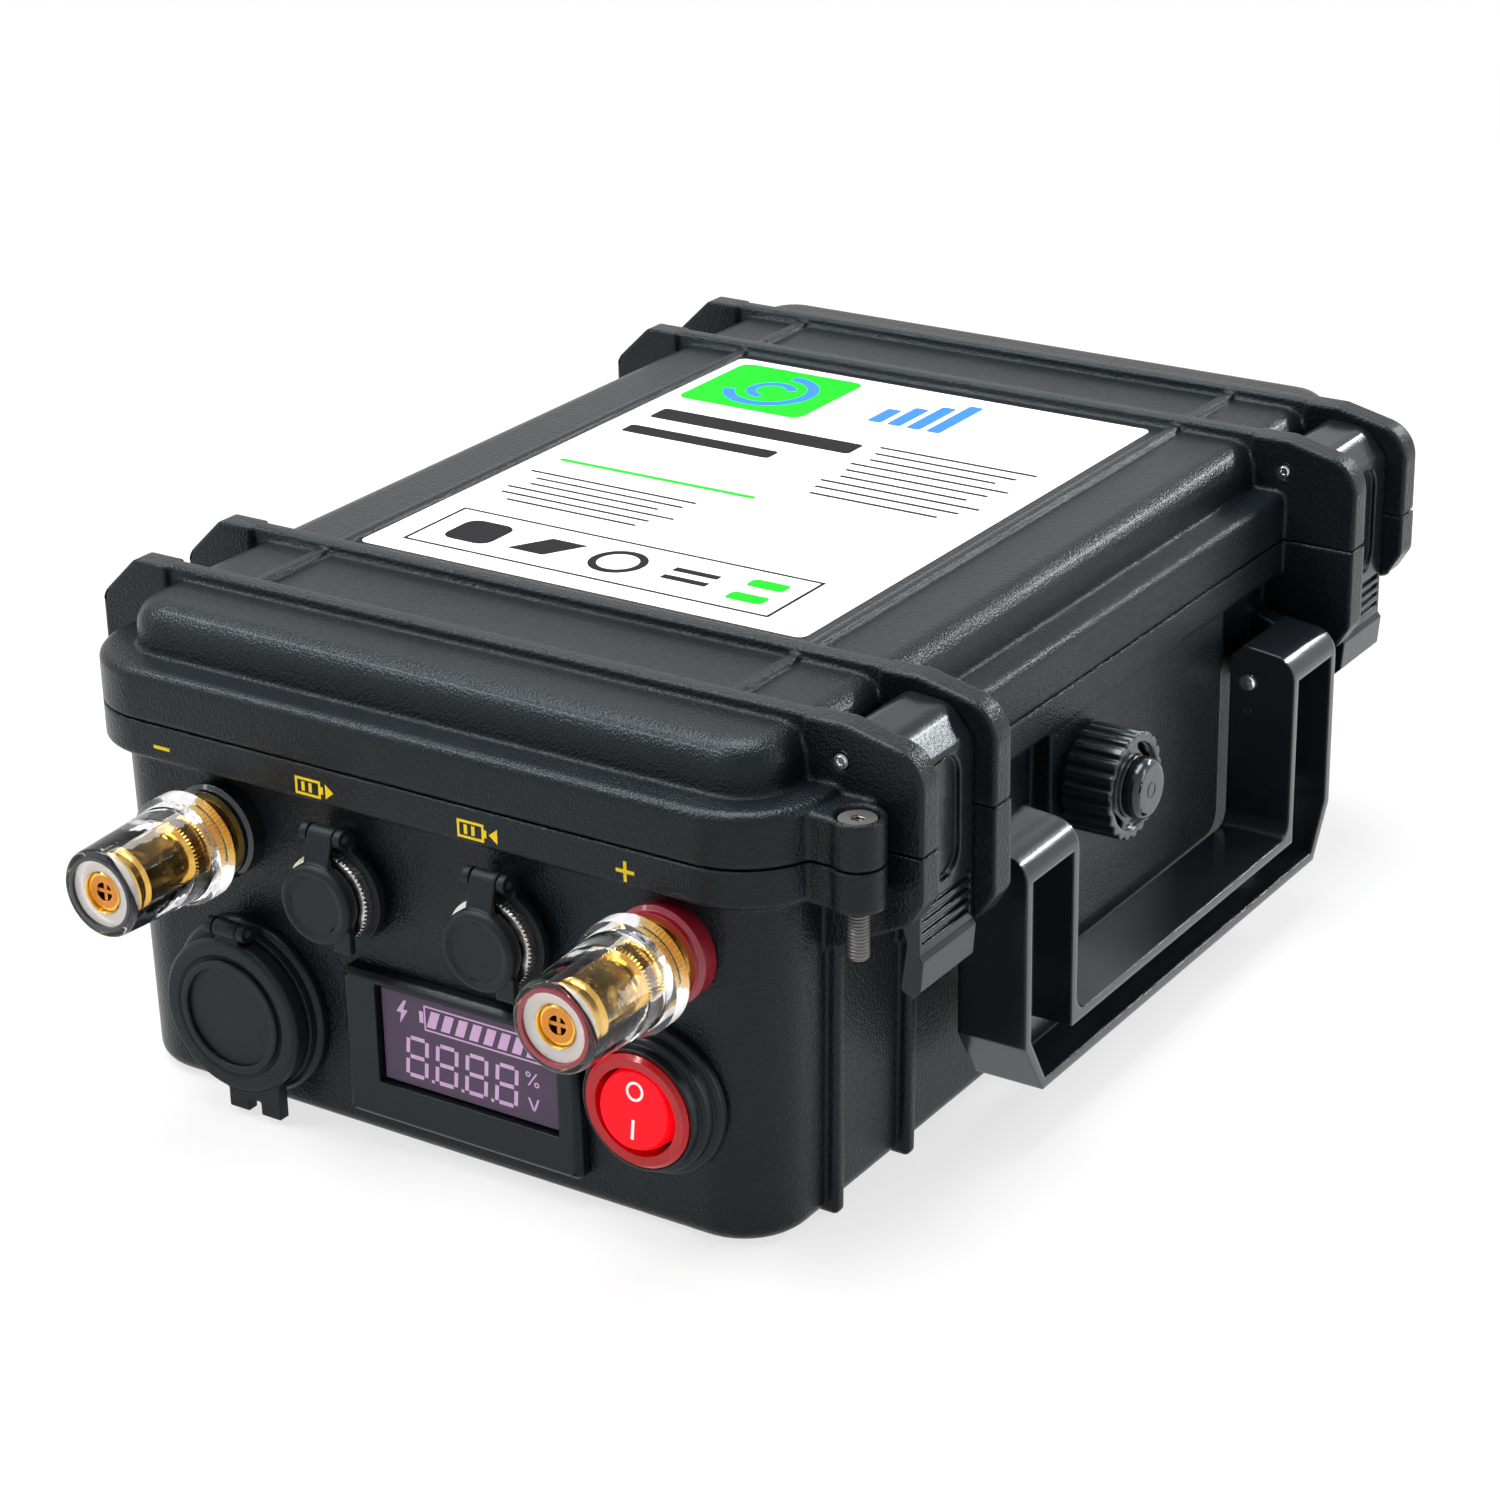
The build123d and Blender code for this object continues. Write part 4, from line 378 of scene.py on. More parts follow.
@dataclass(frozen=True)
class Threaded:
    """Dull steel bolt whose thread shows as rings along Z."""

    name: str
    colour: Triple
    pitch: float = 0.7
    roughness: float = 0.4

    def build(self) -> Material:
        """Make the material.

        Returns:
            A metal with a ridge once a pitch, with painted shade that darkens
            its grooves, and random grime.
        """
        graph = Graph(self.name)
        turn = graph.axis("Z") / (self.pitch * MM)
        ridge = (turn - turn.whole() - 0.5).size() * 2.0
        grime = graph.noise(1.5, 4.0)
        # painted shade: the thread's grooves are painted darker, mixed with random grime
        dark = toned(self.colour, 0.25)
        return graph.finish(
            Base_Color=graph.blend(ridge * 0.7 + grime * 0.3, self.colour, dark),
            Metallic=0.9,
            Roughness=grime * 0.2 + self.roughness,
            Normal=graph.bump(1.0 - ridge, 0.35),
        )


@dataclass(frozen=True)
class Clear:
    """Clear or tinted plastic that light passes through."""

    name: str
    colour: Triple
    roughness: float = 0.03
    ior: float = 1.49
    transmission: float = 1.0

    def build(self) -> Material:
        """Make the material.

        Returns:
            A clear plastic with faint flow waves on its surface.
        """
        graph = Graph(self.name)
        waves = graph.noise(3.2)
        smear = graph.ramp(graph.noise(1.6, 4.0, 0.65), 0.5, 0.8)
        return graph.finish(
            Base_Color=self.colour,
            Roughness=smear * 0.06 + self.roughness,
            IOR=self.ior,
            Transmission_Weight=self.transmission,
            Normal=graph.bump(waves, 0.05),
        )


@dataclass(frozen=True)
class Printed:
    """Ink or paper: nearly flat, with a fine tooth and uneven cover."""

    name: str
    colour: Triple
    roughness: float = 0.5
    glow: float = 0.0

    def build(self) -> Material:
        """Make the material.

        Returns:
            An ink whose cover and sheen vary a little.
        """
        graph = Graph(self.name)
        cover = graph.noise(1.1, 4.0, 0.6)
        thin = graph.ramp(cover, 0.35, 0.8) * 0.5
        base = graph.blend(thin, self.colour, toned(self.colour, 0.86))
        return graph.finish(
            Base_Color=base,
            Roughness=cover * 0.1 + self.roughness,
            Normal=graph.bump(graph.noise(0.3), 0.02),
            # emission: the lit meter segments' own light, and painted light on inks given a glow
            Emission_Color=self.colour,
            Emission_Strength=self.glow,
            Specular_IOR_Level=0.06,
        )


class Look(Enum):
    """Every finish on the part."""

    CASE = Moulded(
        "case_plastic", (0.004, 0.0058, 0.0078), 0.32, 0.95, 0.55, 0.04, specular=0.21, edge=1.4
    )
    LATCH = Moulded(
        "latch_plastic", (0.0056, 0.0073, 0.0092), 0.25, 0.14, 0.8, 0.2, specular=0.26, edge=0.5
    )
    HANDLE = Moulded(
        "handle_plastic", (0.0062, 0.008, 0.01), 0.22, 0.10, 0.8, 0.5, specular=0.34, edge=1.0
    )
    DEVICE = Moulded(
        "device_plastic", (0.006, 0.0076, 0.0092), 0.33, 0.18, 0.6, specular=0.24, edge=0.4
    )
    RUBBER = Moulded(
        "soft_rubber", (0.0062, 0.008, 0.0096), 0.50, 0.30, 0.5, specular=0.24, edge=0.5
    )
    COLLAR_BLACK = Moulded("collar_black", (0.004, 0.004, 0.005), 0.16, coat=0.6)
    COLLAR_RED = Moulded("collar_red", (0.22, 0.006, 0.016), 0.16, coat=0.6)
    HIDDEN = Moulded("holder_plastic", (0.03, 0.03, 0.03), 0.6, 0.1)
    CELL = Moulded("cell_sleeve", (0.05, 0.16, 0.42), 0.3, coat=0.2)
    BOARD = Moulded("board_mask", (0.01, 0.10, 0.03), 0.35)
    FOAM = Moulded("closed_foam", (0.03, 0.03, 0.032), 0.9, 1.4, 1.4)
    GOLD = Metal("gold_plate", (0.83, 0.50, 0.10), 0.18)
    COPPER = Metal("spring_copper", (0.62, 0.24, 0.05), 0.3)
    BRASS = Metal("turned_brass", (0.70, 0.52, 0.24), 0.3)
    CHROME = Metal("chrome_plate", (0.82, 0.82, 0.83), 0.14, 0.2, 0.08)
    SILVER = Metal("silver_thread", (0.62, 0.61, 0.60), 0.22, 0.3, 0.25)
    STEEL = Metal("pin_steel", (0.42, 0.44, 0.45), 0.32)
    BOLT = Threaded("bolt_steel", (0.30, 0.29, 0.27))
    NICKEL = Metal("nickel_strip", (0.36, 0.35, 0.32), 0.48)
    SLEEVE = Clear("clear_sleeve", (0.985, 0.985, 0.985), 0.02, 1.36)
    FROSTED = Clear("frosted_clear", (0.96, 0.95, 0.94), 0.35, 1.45, 0.55)
    RED_COVER = Clear("red_cover", (0.60, 0.004, 0.010), 0.18, 1.40, 0.35)
    RED_BUTTON = Moulded("red_button", (0.88, 0.001, 0.008), 0.34, glow=0.50, specular=0.14)
    LENS = Moulded("meter_lens", (0.070, 0.044, 0.078), 0.24, specular=0.2)
    SEGMENT = Printed("meter_segment", (0.56, 0.36, 0.57), 0.45, 0.10)
    # white and yellow inks glow a little: painted light, since print is no lamp
    WHITE_INK = Printed("white_ink", (0.85, 0.84, 0.84), 0.45, 0.10)
    YELLOW_INK = Printed("yellow_ink", (0.78, 0.55, 0.02), 0.5, 0.05)
    PAPER = Printed("label_paper", (0.92, 0.92, 0.92), 0.40)
    GREEN_INK = Printed("label_green", (0.006, 0.70, 0.012), 0.4)
    BLUE_INK = Printed("label_blue", (0.035, 0.17, 0.62), 0.4)
    BLACK_INK = Printed("label_black", (0.008, 0.008, 0.009), 0.45)


@cache
def material(look: Look) -> Material:
    """The material of a finish, made once."""
    return look.value.build()


def dress(look: Look, *nodes: str) -> None:
    """Give CAD nodes a finish."""
    for node in nodes:
        mesh = bpy.data.objects[node].data
        mesh.materials.clear()
        mesh.materials.append(material(look))


# numpy surfaces
@dataclass(frozen=True)
class Band:
    """Stretch of a turned piece, along its axis, with teeth or flats round it."""

    low: float
    high: float
    count: int
    depth: float
    flat: bool = False

    def share(self, turn: np.ndarray) -> np.ndarray:
        """How much of the depth is cut away at each turn.

        Args:
            turn: angles in radians.

        Returns:
            From 0 to 1: a zigzag for teeth, and for flats the gap between a
            circle and the chord under it.
        """
        part = (turn * self.count / (2 * np.pi)) % 1.0
        if self.flat:
            half = np.pi / self.count
            return (1 - np.cos(half) / np.cos((2 * part - 1) * half)) / (1 - np.cos(half))
        return np.abs(2 * part - 1.0)


@dataclass(frozen=True)
class Place:
    """A right-handed local frame: right, up and out, from an origin in mm."""

    origin: Triple
    right: Triple = (1.0, 0.0, 0.0)
    up: Triple = (0.0, 0.0, 1.0)

    def points(self, local: np.ndarray) -> np.ndarray:
        """Map local (right, up, out) millimetres to row-frame metres.

        Args:
            local: points, with three numbers along the last axis.

        Returns:
            The origin plus each number times its own unit vector.
        """
        right, up = np.array(self.right), np.array(self.up)
        basis = np.stack([right, up, np.cross(right, up)])
        return (np.array(self.origin) + local @ basis) * MM


def grid_faces(rows: int, columns: int) -> np.ndarray:
    """Quads over a grid of points whose last column joins the first.

    Args:
        rows: points along the first parameter.
        columns: points along the second parameter.

    Returns:
        Four point numbers a face, each cell's corners in turn.
    """
    i = np.arange(rows - 1)[:, None]
    j = np.arange(columns)[None, :]
    k = (j + 1) % columns
    corners = (i * columns + j, i * columns + k, (i + 1) * columns + k, (i + 1) * columns + j)
    return np.stack([c + 0 * (i + j) for c in corners], axis=-1).reshape(-1, 4)


@dataclass(frozen=True)
class Tag:
    """What a piece is: its name or CAD node, its look, its body and its slot."""

    name: str
    look: Look
    body: str
    slot: str


def stand(name: str, data: bpy.types.ID) -> Object:
    """Put an object into the scene, and report it."""
    thing = bpy.data.objects.new(name, data)
    bpy.context.scene.collection.objects.link(thing)
    LOG.info("  %s", name)
    return thing


def make_piece(
    tag: Tag,
    points: np.ndarray,
    faces: np.ndarray | list[list[int]],
    angle: float = SMOOTH_ANGLE,
) -> Object:
    """Put a surface into the scene as one piece.

    Args:
        tag: what the piece is.
        points: its points in metres, with three numbers along the last axis.
        faces: point numbers of each face.
        angle: edges flatter than this shade smooth, in degrees.

    Returns:
        The object, at the origin.
    """
    mesh = bpy.data.meshes.new(tag.name)
    mesh.from_pydata(points.reshape(-1, 3).tolist(), [], [list(f) for f in faces])
    mesh.validate()
    merge_points(mesh, DOUBLED, outwards=True)
    smooth(mesh, angle)
    mesh.materials.append(material(tag.look))
    piece = stand(tag.name, mesh)
    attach(piece, tag.body)
    return piece


def merge_points(mesh: bpy.types.Mesh, distance: float, outwards: bool = False) -> None:
    """Merge the points of a mesh that are nearly in one place.

    Args:
        mesh: the mesh.
        distance: how near they are, in metres.
        outwards: whether every face is then turned outwards.
    """
    work = bmesh.new()
    work.from_mesh(mesh)
    bmesh.ops.remove_doubles(work, verts=work.verts, dist=distance)
    if outwards:
        bmesh.ops.recalc_face_normals(work, faces=work.faces)
    work.to_mesh(mesh)
    work.free()


def smooth(mesh: bpy.types.Mesh, angle: float) -> None:
    """Shade smooth, but keep edges sharper than an angle in degrees."""
    mesh.shade_smooth()
    mesh.set_sharp_from_angle(angle=math.radians(angle))


def turned(
    tag: Tag,
    profile: Profile | list[Pair],
    place: Place,
    steps: int = 96,
    bands: tuple[Band, ...] = (),
    angle: float = SMOOTH_ANGLE,
) -> Object:
    """Turned piece: a closed profile of (radius, out) points round a place's out axis.

    The surface is radius times (cosine, sine) of the turn, with the profile's
    out beside it; each band takes its share of its depth off the radius.

    Args:
        tag: what the piece is.
        profile: closed profile, in millimetres.
        place: origin on the axis, out along it.
        steps: points round the axis.
        bands: stretches with teeth or flats.
        angle: edges flatter than this shade smooth, in degrees.

    Returns:
        The object.
    """
    closed = np.array([*profile, profile[0]], float)
    radius, out = closed[:, 0], closed[:, 1]
    turn = np.linspace(0.0, 2 * np.pi, steps, endpoint=False)
    wide = radius[:, None] * np.ones_like(turn)[None, :]
    for band in bands:
        inside = (out >= band.low) & (out <= band.high) & (radius > 0.6 * radius.max())
        wide = wide - inside[:, None] * band.share(turn)[None, :] * band.depth
    local = np.stack([wide * np.cos(turn), wide * np.sin(turn), out[:, None] + 0 * wide], axis=-1)
    return make_piece(tag, place.points(local), grid_faces(len(closed), steps), angle)


def plates(
    tag: Tag, outlines: Rings, place: Place, thick: float, lift: float = 0.0
) -> Object:
    """Thin flat shapes on a place, all in one piece.

    Each outline is a ring of points; the piece has it at the bottom and at the
    top, with a wall between.

    Args:
        tag: what the piece is.
        outlines: rings of (right, up) points in millimetres.
        place: where they lie.
        thick: their thickness.
        lift: how far out the underside is.

    Returns:
        The object.
    """
    points, faces, first = [], [], 0
    for ring in outlines:
        count = len(ring)
        low = np.column_stack([ring, np.full(count, lift)])
        high = np.column_stack([ring, np.full(count, lift + thick)])
        points.append(np.concatenate([low, high]))
        faces.extend((grid_faces(2, count) + first).tolist())
        faces.append((np.arange(count) + first + count).tolist())
        faces.append((np.arange(count)[::-1] + first).tolist())
        first += 2 * count
    return make_piece(tag, place.points(np.concatenate(points)), faces, EASED_ANGLE)


def bar(x: float, y: float, wide: float, high: float, lean: float = 0.0) -> np.ndarray:
    """Ring of a bar round a centre; its top leans right by a share of its height."""
    right, up = wide / 2, high / 2
    corners = np.array([[-right, -up], [right, -up], [right, up], [-right, up]])
    corners[:, 0] += corners[:, 1] * lean
    return corners + np.array([x, y])


def round_bar(
    x: float, y: float, wide: float, high: float, corner: float, steps: int = 6
) -> np.ndarray:
    """Ring of a bar with rounded corners: a quarter turn round each corner's centre."""
    turns = np.linspace(0, np.pi / 2, steps)[None, :] + np.arange(4)[:, None] * np.pi / 2
    signs = np.array([[1, 1], [-1, 1], [-1, -1], [1, -1]])
    centres = signs * [wide / 2 - corner, high / 2 - corner]
    arcs = centres[:, None] + corner * np.stack([np.cos(turns), np.sin(turns)], axis=-1)
    return arcs.reshape(-1, 2) + np.array([x, y])


def hoop(
    x: float, y: float, outer: float, inner: float, steps: int, start: float = 0.0,
    sweep: float = 360.0,
) -> Rings:
    """Ring or arc of band, as a run of short bars between two radii.

    Args:
        x, y: its centre.
        outer: the outer radius.
        inner: the inner radius.
        steps: how many bars.
        start: where it starts, in degrees.
        sweep: how far it goes, in degrees.

    Returns:
        The bars' rings: each joins both radii at one turn and at the next.
    """
    turn = np.radians(start + np.linspace(0, sweep, steps + 1))
    unit = np.column_stack([np.cos(turn), np.sin(turn)])
    near, far = unit * inner, unit * outer
    bars = np.stack([near[:-1], far[:-1], far[1:], near[1:]], axis=1)
    return list(bars + np.array([x, y]))


def frame_bars(x: float, y: float, wide: float, high: float, line: float) -> Rings:
    """Four bars of a line's width that frame a rectangle round a centre."""
    across = [bar(x, y + side * (high - line) / 2, wide, line) for side in (-1, 1)]
    upright = [bar(x + side * (wide - line) / 2, y, line, high - 2 * line) for side in (-1, 1)]
    return across + upright


def soften(tag: Tag, width: float, merge: float = 0.002, clamp: bool = False) -> None:
    """Copy a CAD node with its edges eased, to stand for the node.

    Args:
        tag: what the piece is, by the name of its CAD node.
        width: the bevel's width in millimetres.
        merge: distance in millimetres under which points become one first.
        clamp: whether the bevel narrows where two of them would meet.
    """
    mesh = bpy.data.objects[tag.name].data.copy()
    merge_points(mesh, merge * MM)
    mesh.materials.clear()
    mesh.materials.append(material(tag.look))
    smooth(mesh, EASED_ANGLE)
    piece = stand(f"{tag.name}_eased", mesh)
    mesh.name = piece.name
    ease = piece.modifiers.new("ease", "BEVEL")
    ease.width = width * MM
    ease.segments = 2
    ease.miter_outer = "MITER_ARC"
    ease.limit_method = "ANGLE"
    ease.angle_limit = math.radians(EASED_FROM_ANGLE)
    ease.use_clamp_overlap = clamp
    flat = piece.modifiers.new("flat", "WEIGHTED_NORMAL")
    flat.weight = FLAT_WEIGHT
    flat.keep_sharp = True
    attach(piece, tag.body)
    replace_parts(piece, tag.name)


# sub-assemblies
@dataclass
class Case:
    """Base tub and lid, what is inside them, and the heads of the latch pins."""

    ease: float = 0.6
    merge: float = 0.35
    guard_faces: Pair = (77.5, 110.5)
    latch_pin: Pair = (86.0, 98.3)
    head: Profile = (
        (0, -0.2), (1.15, -0.2), (1.15, 0.22), (1.0, 0.34), (0.72, 0.34), (0.6, 0.12), (0, 0.12)
    )

    def build(self) -> None:
        """Dress the shells and what is inside them, and head the latch pins."""
        soften(Tag("base_shell", Look.CASE, "base", "case_black"), self.ease, clamp=True)
        soften(Tag("lid_shell", Look.CASE, "lid", "case_black"), self.ease, self.merge)
        dress(Look.STEEL, "hinge_pins", "handle_pins", "latch_pins", "cap_pins")
        dress(Look.BOLT, "padlock_bolts")
        dress(Look.RUBBER, "lid_gasket", "main_leads", "signal_leads")
        dress(Look.FOAM, "floor_foam", "lid_foam_pad")
        dress(Look.CELL, "cells")
        dress(Look.HIDDEN, "cell_holders", "post_bushes")
        dress(Look.NICKEL, "bus_strips", "heat_spreader", "post_lugs")
        dress(Look.BOARD, "protection_board")
        dress(Look.GOLD, "post_nuts")
        near, far = self.guard_faces
        x, z = self.latch_pin
        for number, (y, out) in enumerate(((-near, 1), (-far, -1), (near, -1), (far, 1)), 1):
            tag = Tag(f"latch_pin_end_{number}", Look.CHROME, "lid", "pin_steel")
            turned(tag, self.head, Place((x, y, z), (-out, 0, 0)), 32)


@dataclass
class LidLabel:
    """Paper label on the flat of the lid, with a design of plain shapes."""

    height: float = 103.3
    middle: Pair = (-1.5, 1.0)
    size: Pair = (111.0, 148.0)
    corner: float = 2.0
    thick: float = 0.10
    sunk: float = -0.02
    ink: float = 0.03
    patch: Pair = (-37.0, 57.0)
    row: float = -56.0

    def build(self) -> None:
        """Lay the paper and its inks."""
        place = Place((0, 0, self.height), (1, 0, 0), (0, 1, 0))
        paper = [round_bar(*self.middle, *self.size, self.corner)]
        tag = Tag("lid_label", Look.PAPER, "lid", "label_paper")
        plates(tag, paper, place, self.thick, self.sunk)
        inks = (
            ("green", self.green(), Look.GREEN_INK),
            ("blue", self.blue(), Look.BLUE_INK),
            ("black", self.black(), Look.BLACK_INK),
        )
        for step, (name, rings, look) in enumerate(inks, 1):
            tag = Tag(f"label_{name}_shapes", look, "lid", "label_paper")
            plates(tag, rings, place, self.ink * step, self.thick + self.sunk)

    def green(self) -> Rings:
        """A patch in the corner, a rule across the label and two small blocks."""
        patch = [round_bar(*self.patch, 34.0, 30.0, 3.0)]
        rule = [bar(-25.0, -8.5, 52.0, 1.6)]
        return patch + rule + [round_bar(32.5, -60.0 + 8.0 * k, 9.0, 4.2, 1.2) for k in range(2)]

    def blue(self) -> Rings:
        """Stepped bars that rise like a gauge, and a pair of arcs on the patch."""
        gauge = [
            round_bar(-4.0 + 5.2 * k, 54.0 + 1.8 * k, 3.6, 10.0 + 3.6 * k, 0.8) for k in range(4)
        ]
        outer = hoop(*self.patch, 11.5, 8.6, 30, start=200, sweep=250)
        return gauge + outer + hoop(*self.patch, 6.0, 3.6, 24, start=20, sweep=250)

    def black(self) -> Rings:
        """Heavy bars, thin ruled lines and a bordered row of plain shapes."""
        rings = [round_bar(-24.0, 30.0, 54.0, 7.0, 1.0), round_bar(-31.0, 17.5, 40.0, 5.0, 1.0)]
        for k in range(9):
            rings.append(bar(27.0 - 0.8 * (k % 3), 34.0 - 4.2 * k, 40.0 - 4.0 * (k % 3), 0.9))
        for k in range(6):
            rings.append(bar(-30.0 + 1.5 * (k % 2), -18.0 - 3.6 * k, 44.0 - 5.0 * (k % 3), 0.8))
        rings += frame_bars(-4.0, self.row, 92.0, 22.0, 0.7)
        rings += [round_bar(-38.0, self.row, 12.0, 12.0, 3.0), bar(-20.0, self.row, 9.0, 9.0, 0.6)]
        rings += hoop(-2.0, self.row, 6.4, 4.6, 36)
        return rings + [bar(16.0, -53.5 - 4.6 * k, 11.0, 2.0) for k in range(2)]


@dataclass
class PanelMarks:
    """Yellow marks on the base band over each socket."""

    face: float = -134.0
    height: float = 77.4
    thick: float = 0.03
    sunk: float = -0.01
    stroke: float = 0.75
    minus: float = -61.0
    plus: float = 53.0

    def build(self) -> None:
        """Print the marks: minus, plus, and a cell with an arrow out and one in."""
        x, line = self.plus, self.stroke
        rings = [bar(self.minus, 0, 4.2, line), bar(x, 0, 4.2, line)]
        rings += [bar(x, 1.23, line, 1.74), bar(x, -1.23, line, 1.74)]
        rings += self.gauge(-23.0) + self.arrow(-17.6, 1.0)
        rings += self.gauge(17.0) + self.arrow(22.4, -1.0)
        tag = Tag("panel_marks", Look.YELLOW_INK, "base", "panel_ink")
        plates(tag, rings, Place((0, self.face, self.height)), self.thick, self.sunk)

    def gauge(self, x: float) -> Rings:
        """A small cell outline with two bars in it."""
        inside = [bar(x - 1.2, 0, 0.8, 2.0), bar(x + 0.6, 0, 0.8, 2.0)]
        return frame_bars(x, 0, 6.4, 3.8, 0.55) + inside + [bar(x + 3.5, 0, 0.6, 1.6)]

    def arrow(self, x: float, way: float) -> Rings:
        """A triangle that points one way along the panel."""
        corners = np.array([[-1.0, 1.6], [-1.0, -1.6], [1.0, 0.0]]) * [way, 1.0]
        return [(corners + [x, 0.0])[:: int(way)]]


@dataclass
class Post:
    """Binding post: dark collar, chrome washer, gold core and clear sleeve."""

    node: str
    x: float
    collar: Look
    up: float = 61.5
    bore: float = 7.06
    rim_radius: float = 11.6
    taper: Pair = (10.2, 9.3)
    knob: Pair = (10.0, 38.0)
    contact_drop: float = 1.5

    def build(self) -> None:
        """Dress the post, and build its core, sleeve, front and contact."""
        place = Place((self.x, PANEL, self.up))
        dress(self.collar, f"{self.node}_collar", f"{self.node}_tip_ring")
        dress(Look.GOLD, f"{self.node}_stud")
        dress(Look.CHROME, f"{self.node}_clamp_washer")
        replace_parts(self.core(place), f"{self.node}_knob_core")
        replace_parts(self.sleeve(place), f"{self.node}_knob_sleeve")
        self.front(place)
        self.contact(place)

    def on_knob(self, part: str, look: Look, slot: str) -> Tag:
        """Tag of a piece that rides on the knob."""
        return Tag(f"{self.node}_{part}", look, f"{self.node}_knob", slot)

    def core(self, place: Place) -> Object:
        """Gold core: two knurled rings, a waist, and a barrel with flats."""
        low, high = self.knob
        profile = [(4.06, low + 0.1), *self.ring(low + 0.2, low + 3.6, 7.0)]
        profile += [*self.ring(low + 4.6, low + 8.0, 6.95), (5.7, low + 8.6), (5.7, low + 10.4)]
        profile += [*self.ring(low + 11.0, high - 6.4, 6.7), (6.1, high - 6.0), (6.1, high - 5.2)]
        profile += [*self.ring(high - 4.8, high - 3.2, 6.9), (4.06, high - 3.0)]
        bands = (
            Band(low + 0.6, low + 3.2, count=56, depth=0.45),
            Band(low + 5.0, low + 7.6, count=56, depth=0.45),
            Band(low + 11.4, high - 6.8, count=8, depth=0.52, flat=True),
        )
        tag = self.on_knob("gold_core", Look.GOLD, "gold")
        return turned(tag, profile, place, 448, bands, 24.0)

    @staticmethod
    def ring(low: float, high: float, radius: float, rim: float = 0.4) -> list[Pair]:
        """Profile of one ring with eased rims, in steps along its face."""
        face = np.linspace(low + rim, high - rim, 4)
        return [(radius - rim, low), *((radius, float(o)) for o in face), (radius - rim, high)]

    def sleeve(self, place: Place) -> Object:
        """Clear sleeve: thick rim at the panel, slow taper and a rounded end."""
        low, high = self.knob
        near, far = self.taper
        turn = np.linspace(0, np.pi / 2, 7)
        rim, ease = self.rim_radius, 0.8
        profile = [(self.bore, low + 0.4)]
        profile += [(rim + ease * (math.sin(t) - 1), low + 1.2 - ease * math.cos(t)) for t in turn]
        profile += [(rim, low + 5.2), (rim - 0.6, low + 5.9), (near + 0.2, low + 6.4)]
        profile += [(near, low + 7.0)]
        profile += [(far - 1.0 + math.cos(t), high - 1.0 + math.sin(t)) for t in turn]
        profile += [(self.bore + 0.9, high), (self.bore, high - 0.8)]
        tag = self.on_knob("clear_sleeve", Look.SLEEVE, "clear_sleeve")
        return turned(tag, profile, place, 128, angle=40.0)

    def front(self, place: Place) -> None:
        """Pale disc behind the tip ring, and the gold rim in its middle."""
        high = self.knob[1]
        back, face = high - 2.9, high - 0.7
        disc = [(4.5, back), (6.98, back), (6.98, face), (4.5, face - 0.4)]
        turned(self.on_knob("pale_disc", Look.FROSTED, "clear_sleeve"), disc, place)
        rim = [(4.08, back), (4.45, back), (4.45, face - 0.2), (4.3, face), (4.08, face - 0.2)]
        turned(self.on_knob("gold_rim", Look.GOLD, "gold"), rim, place)

    def contact(self, place: Place) -> None:
        """Copper face of the stud, and its sprung leaves in the form of a cross."""
        high = self.knob[1] - self.contact_drop
        face = [(2.02, high - 0.1), (3.5, high - 0.1), (3.4, high + 0.05), (2.1, high + 0.05)]
        tag = Tag(f"{self.node}_contact_face", Look.COPPER, "base", "contact_brass")
        turned(tag, face, place, 64)
        leaves = [bar(0, 0, 4.0, 0.8), bar(0, 1.2, 0.8, 1.5), bar(0, -1.2, 0.8, 1.5)]
        tag = Tag(f"{self.node}_contact", Look.COPPER, "base", "contact_brass")
        plates(tag, leaves, place, 1.0, high - 1.4)


@dataclass
class Sockets:
    """The two round sockets and the lighter socket, with the rings on them."""

    rounds: tuple[tuple[str, float], ...] = (("charge", -18.5), ("output", 21.5))
    rounds_up: float = 55.0
    bright_ring: Profile = (
        (8.02, 3.9), (9.9, 3.9), (9.9, 5.8), (9.5, 6.3), (8.6, 6.5), (8.02, 6.5)
    )
    teeth: Band = Band(3.8, 5.9, count=64, depth=0.22)
    lighter: Pair = (-45.0, 22.5)
    cap_ring: Profile = (
        (11.0, 8.0), (12.6, 8.0), (12.6, 8.55), (12.35, 8.8), (11.25, 8.8), (11.0, 8.55)
    )
    ease: float = 0.3

    def build(self) -> None:
        """Dress the sockets, ease their nuts and caps, and add the rings."""
        dress(Look.DEVICE, "round_sockets", "lighter_nut")
        dress(Look.RUBBER, "round_retainers", "lighter_retainer")
        dress(Look.BRASS, "round_inserts", "lighter_liner", "lighter_contact")
        soften(Tag("round_nuts", Look.DEVICE, "base", "pin_steel"), self.ease)
        soften(Tag("lighter_housing", Look.DEVICE, "base", "device_black"), self.ease)
        for cap in ("charge_cap", "output_cap", "lighter_cap"):
            soften(Tag(cap, Look.RUBBER, f"{cap}_body", "rubber_black"), self.ease)
        for name, x in self.rounds:
            tag = Tag(f"{name}_bright_ring", Look.SILVER, "base", "chrome")
            place = Place((x, PANEL, self.rounds_up))
            turned(tag, self.bright_ring, place, 256, (self.teeth,))
        x, up = self.lighter
        tag = Tag("lighter_cap_ring", Look.RUBBER, "lighter_cap_body", "rubber_black")
        turned(tag, self.cap_ring, Place((x, PANEL, up)))


